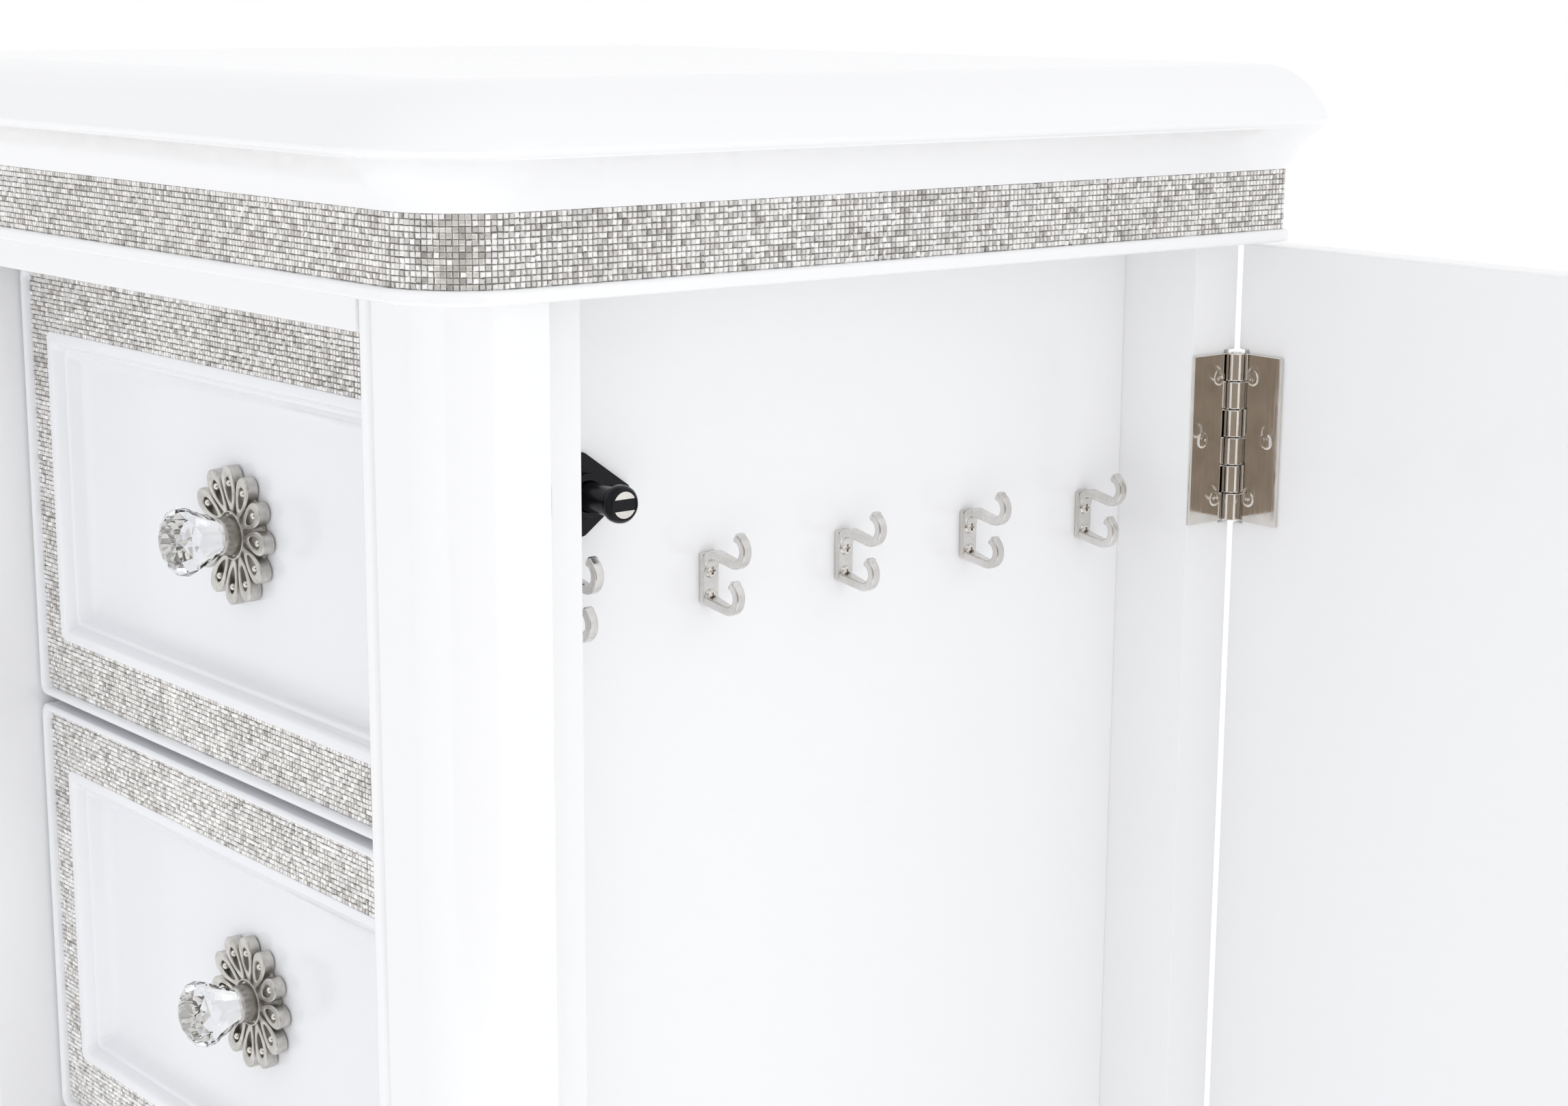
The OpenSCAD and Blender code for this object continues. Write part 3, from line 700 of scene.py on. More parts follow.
# %% [markdown]
# ## Bun feet
# Each foot has a hollow toe, a round belly and a hollow neck under the case.

# %% Make the feet
belly_r = 28
toe_hollow = [(z, 39.2 - math.sqrt(20.16 ** 2 - z ** 2)) for z in (4, 8, 11, 13.5)]
belly = [(16, 26.9), (18.5, 27.6), (22, 27.95), (27, belly_r), (33, 27.95), (37, 27.5),
         (40, 26.6)]
neck_hollow = [(z, 42 - math.sqrt(24.08 ** 2 - (z - 59.5) ** 2))
               for z in (43, 47, 51, 55, 59, 63, 67, 70)]
foot = [(0, 0), (0, 18.4), (0.6, 19.0)] + toe_hollow + belly + neck_hollow + [(70, 0)]
bm = bmesh.new()
foot_low, foot_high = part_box("bun_feet")
for x in (foot_low.x + belly_r * mm, foot_high.x - belly_r * mm):
    for y in (foot_low.y + belly_r * mm, foot_high.y - belly_r * mm):
        turned(bm, foot, Matrix.Translation((x, y, 0)), 40)
piece("bun_feet", bm, "cabinet", ["bun_feet"], "lacquer", white_lacquer)

# %% [markdown]
# ## Drawer fronts
# A drawer front is stepped like a picture frame: a rounded rim, a sunk bed for
# the stones, a raised inner edge, a hollow slope, and the sunk field. It starts
# as one rectangle with rounded corners, and every step is an extrusion that is
# then scaled and moved, so that the walls always meet cleanly at the corners.

# %% Make a drawer front
front_steps = [  # half width, half height and depth behind the crest, in mm
    (158.5, 94, 1.5), (158.1, 93.6, 0.55), (157.2, 92.7, 0.05), (156.4, 91.9, 0.1),
    (155.5, 91.0, 0.7), (155, 90.5, 1.8), (155, 90.5, 4), (140.2, 66.7, 4),
    (140.2, 66.7, 2.9), (139.8, 66.3, 2.6), (136.6, 63.1, 2.6), (135.6, 62.1, 3.0),
    (134.6, 61.1, 4.4), (133.9, 60.4, 6.4), (133.6, 60.1, 7.0), (132.4, 58.9, 7.1),
    (131.6, 58.1, 7.6), (130.8, 57.3, 9.4), (129.4, 55.9, 11.6), (127.2, 53.7, 13.2),
    (124.6, 51.1, 14.0), (122, 48.5, 14.0)]


def draw_front(bm, centre_z, crest_y, thickness=20 * mm):
    width, height = front_steps[0][0] * mm, front_steps[0][1] * mm
    face = bm.faces.new([bm.verts.new((x * width, crest_y + thickness,
                                       centre_z + z * height))
                         for x, z in ((-1, -1), (1, -1), (1, 1), (-1, 1))])
    round_corners(bm, face.verts[:], 4 * mm, 5)
    face = next(iter(bm.faces))
    for step_x, step_z, depth in front_steps:
        face = bmesh.ops.extrude_discrete_faces(bm, faces=[face])["faces"][0]
        bmesh.ops.scale(bm, verts=face.verts[:],
                        vec=(step_x * mm / width, 1, step_z * mm / height),
                        space=Matrix.Translation((0, 0, -centre_z)))
        shift = crest_y + depth * mm - face.verts[0].co.y
        bmesh.ops.translate(bm, verts=face.verts[:], vec=(0, shift, 0))
        width, height = step_x * mm, step_z * mm
    bmesh.ops.holes_fill(bm, edges=[e for e in bm.edges if e.is_boundary])


print("a drawer front has", len(front_steps), "steps")

# %% [markdown]
# ## Drawer boxes
# Behind each front is a box of five boards, lined with felt. The lining is five
# thin eased boards of its own, so that its edge shows round the top.

# %% Make the fronts and the boxes
def draw_box(bm, box_low, box_high):
    x, y0, y1, z0, z1 = box_high.x, box_low.y, box_high.y, box_low.z, box_high.z
    wall, floor, glue, felt = 10 * mm, 5 * mm, 0.1 * mm, 0.8 * mm
    inner, felt_low, felt_high = x - wall, z0 + floor + felt + glue, z1 - 6 * mm
    for side in (-1, 1):
        edge = sorted((side * inner, side * x))
        board(bm, (edge[0], y0, z0), (edge[1], y1, z1), 0.8 * mm)
        lining = sorted((side * (inner - felt), side * (inner - glue)))
        board(bm, (lining[0], y0 + wall + felt + glue, felt_low),
              (lining[1], y1 - wall - felt - glue, felt_high), 0.3 * mm, 1)
    span = inner - glue
    for start, lining in ((y0, y0 + wall + glue), (y1 - wall, y1 - wall - felt)):
        board(bm, (-span, start, z0), (span, start + wall, z1), 0.8 * mm)
        board(bm, (-span, lining, felt_low), (span, lining + felt - glue, felt_high),
              0.3 * mm, 1)
    near, far = y0 + wall + glue, y1 - wall - glue
    board(bm, (-span, near, z0), (span, far, z0 + floor), 0.3 * mm)
    board(bm, (-span, near, z0 + floor + glue), (span, far, z0 + floor + felt), 0.3 * mm, 1)


for n in drawers:
    low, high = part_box(f"drawer_{n}_front")
    bm = bmesh.new()
    draw_front(bm, (low.z + high.z) / 2, low.y)
    # The fronts wear the darker copy of the lacquer, which is painted shade for their recess.
    piece(f"drawer_{n}_front", bm, f"drawer_{n}", [f"drawer_{n}_front"],
          "drawer_lacquer", drawer_lacquer, sharp=40)
    bm = bmesh.new()
    draw_box(bm, *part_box(f"drawer_{n}_box"))
    piece(f"drawer_{n}_box", bm, f"drawer_{n}", [f"drawer_{n}_box"], "drawer_wood",
          painted_board, grey_felt)

# %% [markdown]
# ## Setting the stones
# The trims are sheets of small cut stones on a mesh, twelve rows tall. Each
# stone is a small block with a sloped crown, ten faces in all, because there are
# some thirty thousand of them. A setter never gets two quite alike, so each one
# is tilted a little and carries its own tone. Every sheet's seam shows as a fine
# gap.

# %% Helpers that set stones
seam, pitch, rows = 0.3 * mm, 2 * mm, 12
seed_mesh = bmesh.new()
bmesh.ops.create_cube(seed_mesh, size=1 * mm)
bmesh.ops.scale(seed_mesh, verts=seed_mesh.verts, vec=(1.8, 1.74, 0.5))
bmesh.ops.translate(seed_mesh, verts=seed_mesh.verts, vec=(0, 0, 0.45 * mm))
table = max(seed_mesh.faces, key=lambda f: f.calc_center_median().z)
bmesh.ops.inset_region(seed_mesh, faces=[table], thickness=0.34 * mm, depth=0.3 * mm)
one_stone = bpy.data.meshes.new("one_stone")
seed_mesh.to_mesh(one_stone)
seed_mesh.free()
stone_points = np.array([v.co for v in one_stone.vertices])
tone_of_stone = one_stone.attributes.new("tone", "FLOAT", "POINT")


def set_stones(bm, places, dice):
    """Stamps a stone at every place, tilted a little, with a tone of its own."""
    for place, panel_tone in places:
        tilt = (Matrix.Rotation(dice.gauss(0, 0.13), 4, "X")
                @ Matrix.Rotation(dice.gauss(0, 0.13), 4, "Y")
                @ Matrix.Rotation(dice.gauss(0, 0.05), 4, "Z"))
        matrix = np.array(place @ tilt)
        moved = stone_points @ matrix[:3, :3].T + matrix[:3, 3]
        one_stone.vertices.foreach_set("co", moved.astype(np.float32).ravel())
        tone = min(1.0, max(0.0, dice.betavariate(1.9, 0.75) + panel_tone))
        tone_of_stone.data.foreach_set("value", [tone] * len(stone_points))
        bm.from_mesh(one_stone)


def stone_run(length, dice, panel=26):
    """Distances along a strip, with a fine gap and a new tone at each seam."""
    count = round(length / pitch)
    step = (length - count // panel * seam) / count
    out = []
    for i in range(count):
        if i % panel == 0:
            shade = dice.uniform(-0.08, 0.08)
        out.append(((i + 0.5) * step + i // panel * seam, shade))
    return out


print("one stone:", len(one_stone.polygons), "faces")

# %% [markdown]
# ## The band round the frieze
# The band runs from the back of one side, round both front corners, to the back
# of the other. A small function turns a distance along the band into a place on
# it, and the stones simply follow.

# %% Make the stone band
seat = corner_r - stone_t
side_run, corner_run = back_y - front_y - corner_r, math.pi / 2 * seat
front_run = 2 * (half_w - corner_r)


def on_band(s):
    """The place at distance s along the band: x, y and the way it faces."""
    flip = s > side_run + corner_run + front_run / 2
    if flip:
        s = 2 * (side_run + corner_run) + front_run - s
    if s < side_run:
        x, y, angle = half_w - stone_t, back_y - s, 0.0
    elif s < side_run + corner_run:
        angle = -(s - side_run) / seat
        x = half_w - corner_r + seat * math.cos(angle)
        y = front_y + corner_r + seat * math.sin(angle)
    else:
        x = half_w - corner_r - (s - side_run - corner_run)
        y, angle = front_y + stone_t, -math.pi / 2
    return (-x if flip else x), y, (math.pi - angle if flip else angle)


dice = random.Random(11)
row_pitch = (band_high.z - band_low.z) / rows
bm = bmesh.new()
places = []
for s, shade in stone_run(2 * (side_run + corner_run) + front_run, dice):
    x, y, angle = on_band(s)
    way = (math.cos(angle), math.sin(angle), 0)
    for row in range(rows):
        place = facing(x, y, band_low.z + (row + 0.5) * row_pitch, way)
        places.append((place, shade))
set_stones(bm, places, dice)
piece("frieze_stone_band", bm, "cabinet", ["frieze_stone_band"], "stones",
      cut_stones, sharp=5)

backing = [(-1.1, 0.05), (-0.9, 0.05), (-0.8, 0.15), (-0.8, 23.85), (-0.9, 23.95),
           (-1.1, 23.95)]
piece("frieze_stone_backing", run_round(backing, band_low.z, ring=True), "cabinet", [],
      "stones", stone_mesh_backing)
print("stones in the band:", len(places))

# %% [markdown]
# ## The trims on the drawers
# Wide strips run along the top and the bottom of each front, and narrow ones up
# the sides between them. All five trims are stamped from the first one's stones.

# %% Make the drawer trims
trim_low, trim_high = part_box("drawer_1_stone_trim")
trim_mid = (trim_low.z + trim_high.z) / 2
bed_y = trim_high.y
half_x, half_z = trim_high.x, trim_high.z - trim_mid
wide, narrow = 24 * mm, 15 * mm
dice = random.Random(29)
places = []
across = stone_run(2 * half_x, dice)
for z0 in (half_z - wide, -half_z):
    for x, shade in across:
        for row in range(rows):
            z = trim_mid + z0 + (row + 0.5) * wide / rows
            places.append((facing(x - half_x, bed_y, z, (0, -1, 0)), shade))
columns = 7
for x0 in (-half_x, half_x - narrow):
    for up, shade in stone_run(2 * (half_z - wide), dice):
        for column in range(columns):
            x, z = x0 + (column + 0.5) * narrow / columns, trim_mid - half_z + wide + up
            places.append((facing(x, bed_y, z, (0, -1, 0)), shade))
trim_bm = bmesh.new()
set_stones(trim_bm, places, dice)
for n in drawers:
    low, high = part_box(f"drawer_{n}_stone_trim")
    bm = trim_bm.copy()
    bmesh.ops.translate(bm, verts=bm.verts, vec=(0, 0, (low.z + high.z) / 2 - trim_mid))
    piece(f"drawer_{n}_stone_trim", bm, f"drawer_{n}", [f"drawer_{n}_stone_trim"],
          "stones", cut_stones, sharp=5)
    bm = bmesh.new()
    mesh_y, gap = bed_y - 0.4 * mm, 0.1 * mm
    for z0, z1 in ((high.z - wide, high.z), (low.z, low.z + wide)):
        board(bm, (-half_x, mesh_y, z0), (half_x, bed_y, z1), 0.1 * mm)
    for x0, x1 in ((-half_x, narrow - half_x), (half_x - narrow, half_x)):
        board(bm, (x0, mesh_y, low.z + wide + gap), (x1, bed_y, high.z - wide - gap),
              0.1 * mm)
    piece(f"drawer_{n}_stone_backing", bm, f"drawer_{n}", [], "stones", stone_mesh_backing)
trim_bm.free()
print("stones in each trim:", len(places))

# %% [markdown]
# ## Flower rosettes
# Each rosette is a cast flower of twelve open petals. A petal is a ribbon bent
# into a loop: a ring with a tall flat section, spun round, then drawn out long
# and pinched towards the middle of the flower. Inside each loop sits a bead.
# One petal is shaped and the others are turned copies, as on a pattern for
# casting.

# %% Make the rosettes
def draw_petal(bm):
    """One loop along +X, standing on the plane Z = 0."""
    loop = bmesh.ops.create_grid(bm, x_segments=1, y_segments=1, size=1)["verts"]
    bmesh.ops.scale(bm, verts=loop, vec=(1.4 * mm, 2.7 * mm, 1))
    round_corners(bm, loop, 0.75 * mm)
    bmesh.ops.rotate(bm, verts=bm.verts, cent=(0, 0, 0),
                     matrix=Matrix.Rotation(math.pi / 2, 3, "X"))
    bmesh.ops.translate(bm, verts=bm.verts, vec=(4.6 * mm, 0, 3.1 * mm))
    ring = [e for e in bm.edges if e.is_boundary]
    bmesh.ops.delete(bm, geom=bm.faces[:], context="FACES_ONLY")
    bmesh.ops.spin(bm, geom=ring + bm.verts[:], cent=(0, 0, 0), axis=(0, 0, 1),
                   dvec=(0, 0, 0), angle=2 * math.pi, steps=20, use_merge=True,
                   use_duplicate=False)
    bmesh.ops.scale(bm, verts=bm.verts, vec=(1.62, 1, 1))
    half_length = 9.3
    for v in bm.verts:  # narrow and low near the flower's middle, wide and high far out
        reach = (v.co.x / mm + half_length) / (2 * half_length)
        v.co.y *= 0.34 + 0.74 * reach
        v.co.x += 17.9 * mm
        v.co.z *= 0.62 + 0.5 * reach - 0.12 * reach * reach
    bead = bmesh.ops.create_icosphere(bm, subdivisions=2, radius=1.6 * mm)["verts"]
    bmesh.ops.translate(bm, verts=bead, vec=(20.6 * mm, 0, 3.9 * mm))
    for face in {f for v in bead for f in v.link_faces}:
        face.material_index = 2


def draw_rosette(bm, x, y, z):
    petal = bmesh.new()
    draw_petal(petal)
    for i in range(12):
        stamp(bm, petal, Matrix.Rotation(math.pi * i / 6, 4, "Z"))
    petal.free()
    bm.transform(facing(x, y, z, (0, -1, 0)))
    turned(bm, [(0, 0), (0, 21), (1.2, 21.6), (2.1, 21), (2.6, 17), (2.6, 9), (2.6, 0)],
           facing(x, y, z, (0, -1, 0)), 48, look=1)


knob_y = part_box("drawer_1_rosette")[1].y
knob_heights = {}
for n in drawers:
    low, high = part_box(f"drawer_{n}_rosette")
    knob_heights[n] = (low.z + high.z) / 2
    bm = bmesh.new()
    draw_rosette(bm, 0, knob_y, knob_heights[n])
    piece(f"drawer_{n}_rosette", bm, f"drawer_{n}", [f"drawer_{n}_rosette"],
          "antique_nickel", antique_nickel, rosette_recess, bright_nickel, sharp=45)

# %% [markdown]
# ## Ferrules and crystals
# A turned ferrule holds the crystal and carries on as the screw that clamps the
# knob to the drawer. The crystal is cut: rings of points, every second one
# turned by half a step, wrapped in their convex hull, which leaves flat facets
# with crisp edges.

# %% Make the ferrules and the crystals
ferrule = [(-18, 0), (-18, 3.5), (-17.5, 4), (-16.3, 4), (-16, 3.6), (-16, 2), (0.9, 2),
           (0.9, 9.2), (1.3, 9.6), (4.3, 9.8), (4.8, 9.6), (4.9, 9.2), (4.2, 8.9),
           (3.0, 8.7), (2.8, 8.2), (3.2, 7.8), (5.0, 7.6), (9.2, 7.5), (10.1, 7.3),
           (10.5, 6.9), (10.5, 0)]
facets = 10
cuts = [  # distance from the rosette's seat, radius, half facets turned
    (10, 6.6, 0), (12.5, 6.9, 1), (23.0, 12.9, 0), (25.4, 13.6, 1), (27.6, 13.0, 0),
    (30.2, 10.4, 1), (31.7, 7.4, 0), (32.2, 4.4, 1)]
for n in drawers:
    seat_place = facing(0, knob_y, knob_heights[n], (0, -1, 0))
    bm = bmesh.new()
    turned(bm, ferrule, seat_place, 40)
    piece(f"drawer_{n}_knob_screw", bm, f"drawer_{n}", [f"drawer_{n}_knob_screw"],
          "antique_nickel", antique_nickel)
    bm = bmesh.new()
    for along, radius, turn in cuts:
        ring = bmesh.ops.create_circle(bm, segments=facets, radius=radius * mm)["verts"]
        bmesh.ops.rotate(bm, verts=ring, cent=(0, 0, 0),
                         matrix=Matrix.Rotation(turn * math.pi / facets, 3, "Z"))
        bmesh.ops.translate(bm, verts=ring, vec=(0, 0, along * mm))
    bmesh.ops.convex_hull(bm, input=bm.verts[:])
    loose = [e for e in bm.edges if not e.link_faces]
    bmesh.ops.delete(bm, geom=loose, context="EDGES")
    bmesh.ops.dissolve_limit(bm, angle_limit=0.01, verts=bm.verts, edges=bm.edges)
    piece(f"drawer_{n}_crystal", bm, f"drawer_{n}", [f"drawer_{n}_crystal"], "crystal",
          cut_crystal, sharp=1, place=seat_place)

# %% [markdown]
# ## Cross-head screws
# Screw heads show on every hinge and hook. A small grid of nine cells is
# bridged to a round rim, and the cross of five cells is pushed in. The shank
# below is a few extrusions of the rim.

# %% A helper that drives a screw
def screw(bm, place, radius=3.3 * mm, rise=0.34 * mm):
    """A cross-head screw whose head faces the place's own Z."""
    one = bmesh.new()
    grid = bmesh.ops.create_grid(one, x_segments=3, y_segments=3,
                                 size=radius * 0.5)["verts"]
    bmesh.ops.translate(one, verts=grid, vec=(0, 0, rise))
    square = [e for e in one.edges if e.is_boundary]
    loops = []
    for share, height in ((0.84, 0.8), (1.0, 0.15)):
        ring = bmesh.ops.create_circle(one, segments=24, radius=radius * share)["verts"]
        bmesh.ops.translate(one, verts=ring, vec=(0, 0, rise * height))
        loops.append(list({e for v in ring for e in v.link_edges}))
    shoulder, rim = loops
    bmesh.ops.bridge_loops(one, edges=square + shoulder)
    bmesh.ops.bridge_loops(one, edges=shoulder + rim)
    cell, cross = radius * 0.52 / 3, []
    for face in one.faces:
        middle = face.calc_center_median().xy
        if min(abs(middle.x), abs(middle.y)) < cell and middle.length < radius * 0.45:
            cross.append(face)
    sunk = bmesh.ops.extrude_face_region(one, geom=cross)["geom"]
    bmesh.ops.delete(one, geom=cross, context="FACES")
    sunk = only(sunk, bmesh.types.BMVert)
    bmesh.ops.translate(one, verts=sunk, vec=(0, 0, -1.0 * mm))
    bmesh.ops.scale(one, verts=sunk, vec=(0.75, 0.75, 1))
    edges = rim
    for factor, down in ((1.0, 0.25), (0.5, 1.5), (1.0, 6.5), (0.15, 1.6)):
        moved, edges = push(one, edges, (0, 0, -down * mm))
        bmesh.ops.scale(one, verts=moved, vec=(factor, factor, 1))
    bmesh.ops.contextual_create(one, geom=edges)
    stamp(bm, one, place)
    one.free()


print("a screw head is 6.6 mm across on a hinge and 5.8 mm on a hook")

# %% [markdown]
# ## Hinges
# A butt hinge is two leaves of sheet nickel whose edges are rolled into
# knuckles round a pin, three knuckles on each leaf. The knuckles are short
# cylinders with eased ends, so that a bright line shows between them.

# %% Make the hinges
leaf_t, leaf_gap, knuckles = 1.6 * mm, 0.8 * mm, 6
leaf_screws = [(9.5 * mm, 25.2 * mm), (18.5 * mm, 0), (9.5 * mm, -25.2 * mm)]
knuckle_h = hinge_h / knuckles
bore_r, knuckle_r, knuckle_gap = 2.05, 4.5, 0.3  # these sizes are in mm
knuckle_l = knuckle_h / mm - knuckle_gap
knuckle_end = [(0, bore_r), (0, 3.9), (0.15, 4.3), (0.45, knuckle_r), (0.7, knuckle_r)]
far_end = [(knuckle_l - along, radius) for along, radius in reversed(knuckle_end)]
knuckle = knuckle_end + far_end + [(0, bore_r)]


def draw_leaf(bm, first, out):
    """The three leaves on one side: out is -1 on the stile and 1 on the door."""
    plate_x = pin_x + (leaf_gap / 2 if out > 0 else -leaf_gap / 2 - leaf_t)
    for z in hinge_heights:
        board(bm, (plate_x, pin_y - 25 * mm, z - hinge_h / 2),
              (plate_x + leaf_t, pin_y - 4.8 * mm, z + hinge_h / 2), 0.45 * mm)
        for k in range(first, knuckles, 2):
            low = z + hinge_h / 2 - (k + 1) * knuckle_h + knuckle_gap / 2 * mm
            board(bm, (plate_x, pin_y - 7 * mm, low),
                  (plate_x + leaf_t, pin_y - 2.6 * mm, low + knuckle_l * mm), 0.2 * mm)
            turned(bm, knuckle, Matrix.Translation((pin_x, pin_y, low)))


def leaf_screw_heads(bm, out):
    for z in hinge_heights:
        for away, up in leaf_screws:
            screw(bm, facing(pin_x + out * leaf_gap / 2, pin_y - away, z + up,
                             (-out, 0, 0)))


cabinet_pair("hinge_frame_leaves", lambda bm: draw_leaf(bm, 0, -1), "nickel", bright_nickel)
both_sides("hinge_door_leaves", lambda bm: draw_leaf(bm, 1, 1), on_doors,
           ["hinge_door_leaves"], "nickel", bright_nickel, open_right=True)
both_sides("door_screws", lambda bm: leaf_screw_heads(bm, 1), on_doors,
           ["door_screws"], "nickel", bright_nickel, open_right=True)

# %% [markdown]
# ## Necklace hooks
# A hook is a plate with two bent prongs. A bender works along the bar: so much
# straight, then so many degrees round a former. The helper does the same to the
# bar's section, with an extrusion for each straight and a spin for each bend,
# and swells the end into a round tip. Last, the bar is widened where it leaves
# the plate, because the real hook is cut from one broad strip.

# %% A helper that bends a bar
def bend_bar(bm, start, heading, moves):
    """Bends a bar in the X-Z plane. A move is a length in mm, or (radius, degrees)."""
    before = set(bm.verts)
    corners = bmesh.ops.create_grid(bm, x_segments=1, y_segments=1, size=1)["verts"]
    bmesh.ops.scale(bm, verts=corners, vec=(1.7 * mm, 2.0 * mm, 1))
    round_corners(bm, corners, 0.85 * mm)
    section = [v for v in bm.verts if v not in before]
    edges = list(section[0].link_faces[0].edges)
    at, angle = Vector((start[0] * mm, 0, start[1] * mm)), heading
    turn = Matrix.Rotation(math.radians(90 - heading), 4, "Y")
    bmesh.ops.transform(bm, matrix=Matrix.Translation(at) @ turn, verts=section)

    def ahead():
        return Vector((math.cos(math.radians(angle)), 0, math.sin(math.radians(angle))))

    def inwards(degrees):
        return Vector((-ahead().z, 0, ahead().x)) * math.copysign(1, degrees)

    for move in moves:
        if isinstance(move, tuple):
            radius, degrees = move[0] * mm, move[1]
            centre = at + inwards(degrees) * radius
            grown = bmesh.ops.spin(bm, geom=edges, cent=centre, dvec=(0, 0, 0),
                                   axis=(0, -1 if degrees > 0 else 1, 0),
                                   angle=math.radians(abs(degrees)),
                                   steps=max(4, round(abs(degrees) / 12)),
                                   use_duplicate=False)["geom_last"]
            edges = only(grown, bmesh.types.BMEdge)
            angle += degrees
            at = centre - inwards(degrees) * radius
        else:
            edges = push(bm, edges, ahead() * move * mm)[1]
            at = at + ahead() * move * mm
    for length, factor in ((0.5, 1.12), (1.0, 0.9), (0.55, 0.6), (0.2, 0.35)):
        moved, edges = push(bm, edges, ahead() * length * mm)
        at = at + ahead() * length * mm
        bmesh.ops.scale(bm, verts=moved, vec=(factor,) * 3, space=Matrix.Translation(-at))
    bmesh.ops.contextual_create(bm, geom=edges)
    for v in set(bm.verts) - before:
        near_plate = 1 - min(1, max(0, (v.co.x - 2 * mm) / (8 * mm)))
        v.co.y *= 1 + 0.75 * near_plate ** 2 * (3 - 2 * near_plate)


print("a bend takes one step for every 12 degrees")

# %% [markdown]
# ### Bends of the two prongs
# The upper prong leaves the top of the plate, goes over a crest and swings back
# up into its curl. The slopes are those of the straight that touches both
# bends, so that the bar never kinks.

# %% Make the hooks
def slope_between(a, ra, b, rb):
    """Slope of the straight that leaves bend a and runs smoothly into bend b."""
    dx, dz = b[0] - a[0], b[1] - a[1]
    gap = math.hypot(dx, dz)
    slope = math.degrees(math.atan2(dz, dx) - math.asin((ra + rb) / gap))
    return slope, math.sqrt(gap ** 2 - (ra + rb) ** 2)


crest, crest_bend, curl = (6.3, -5.2), 4.6, 5.3
upper_curl, lower_curl, root = (17, 2.8), (13.4, -15.2), (0.9, -18.3)
upper_slope, upper_run = slope_between(crest, crest_bend, upper_curl, curl)
lower_slope, lower_run = slope_between(root, 0, lower_curl, curl)
hook_plate_t, hook_z, hook_screws = 2.3 * mm, 983 * mm, (-7.02 * mm, -16.77 * mm)
hook_depths = [(-113 + 66.5 * i) * mm for i in range(5)]


def draw_hook(bm):
    board(bm, (0, -4 * mm, -19.5 * mm), (hook_plate_t, 4 * mm, 0), 0.8 * mm)
    bend_bar(bm, (1.7, -5.6), 90, [0.4, (crest_bend, upper_slope - 90), upper_run,
                                   (curl, 150 - upper_slope)])
    bend_bar(bm, root, lower_slope, [lower_run, (curl, 142 - lower_slope)])


def draw_hooks(bm):
    one = bmesh.new()
    draw_hook(one)
    for y in hook_depths:
        stamp(bm, one, Matrix.Translation((panel_x, y, hook_z)))
    one.free()


both_sides("necklace_hooks", draw_hooks, on_cabinet, ["necklace_hooks"], "nickel",
           satin_nickel)

# %% [markdown]
# ## Screws in the cabinet
# The frame leaves take countersunk screws, and the hooks take screws whose
# heads stand proud of the plate.

# %% Make the cabinet screws
def cabinet_screw_heads(bm):
    leaf_screw_heads(bm, -1)
    for y in hook_depths:
        for z in hook_screws:
            screw(bm, facing(panel_x + hook_plate_t, y, hook_z + z, (1, 0, 0)),
                  2.9 * mm, 1.1 * mm)


cabinet_pair("cabinet_screws", cabinet_screw_heads, "nickel", bright_nickel)

# %% [markdown]
# ## Push latches
# The latch has a lozenge flange with rounded corners, a collar, and a plunger
# whose round head holds a magnet between two steel poles. The flange is a ring
# bridged between the lozenge and the bore, then pushed out to its thickness.

# %% Make the latches
latch_y, latch_z = -105 * mm, 1011 * mm
flange_w, flange_h, flange_t, latch_bore_r = 45 * mm, 32 * mm, 2.2 * mm, 5.5
along_x = facing(panel_x, latch_y, latch_z, (1, 0, 0))


def draw_latch_body(bm):
    corners = [bm.verts.new((panel_x, latch_y + y * flange_w, latch_z + z * flange_h))
               for y, z in ((-0.5, 0), (0, -0.5), (0.5, 0), (0, 0.5))]
    bm.faces.new(corners)
    round_corners(bm, corners, 2.5 * mm, 5)
    lozenge = next(iter(bm.faces))
    outer = list(lozenge.edges)
    bmesh.ops.delete(bm, geom=[lozenge], context="FACES_ONLY")
    bore = bmesh.ops.create_circle(bm, segments=24, radius=latch_bore_r * mm,
                                   matrix=along_x)["verts"]
    inner = list({e for v in bore for e in v.link_edges})
    bmesh.ops.bridge_loops(bm, edges=outer + inner)
    thicken(bm, bm.faces[:], (flange_t, 0, 0))
    turned(bm, [(2.0, latch_bore_r), (2.0, 8.1), (5.9, 8.1), (6.5, 7.8), (6.7, 7.2),
                (6.7, 5.8), (6.4, latch_bore_r), (2.0, latch_bore_r)], along_x, 40)


cabinet_pair("latch_bodies", draw_latch_body, "black_plastic", black_gloss)


def draw_plunger(bm):
    turned(bm, [(5, 0), (5, 4.8), (5.4, 5.2), (22.0, 5.2), (22.5, 5.5), (23.0, 6.3),
                (23.9, 6.75), (25.2, 6.8), (26.6, 6.55), (27.5, 5.9), (27.85, 5.4),
                (27.8, 5.0), (27.5, 4.85), (27.5, 0)], along_x, 40)


quarter_turn = Matrix.Rotation(math.pi / 2, 4, "Y") @ Matrix.Rotation(math.pi / 2, 4, "Z")
magnet_face = Matrix.Translation((panel_x + 27.4 * mm, latch_y, latch_z))


def draw_poles(bm):
    for side in (-1, 1):
        one = bmesh.new()
        bmesh.ops.create_circle(one, cap_ends=True, segments=32, radius=4.75 * mm)
        bmesh.ops.bisect_plane(one, geom=one.verts[:] + one.edges[:] + one.faces[:],
                               dist=1e-7, plane_co=(0, side * 2.1 * mm, 0),
                               plane_no=(0, side, 0), clear_inner=True)
        thicken(one, one.faces[:], (0, 0, 0.35 * mm))
        stamp(bm, one, magnet_face @ quarter_turn)
        one.free()


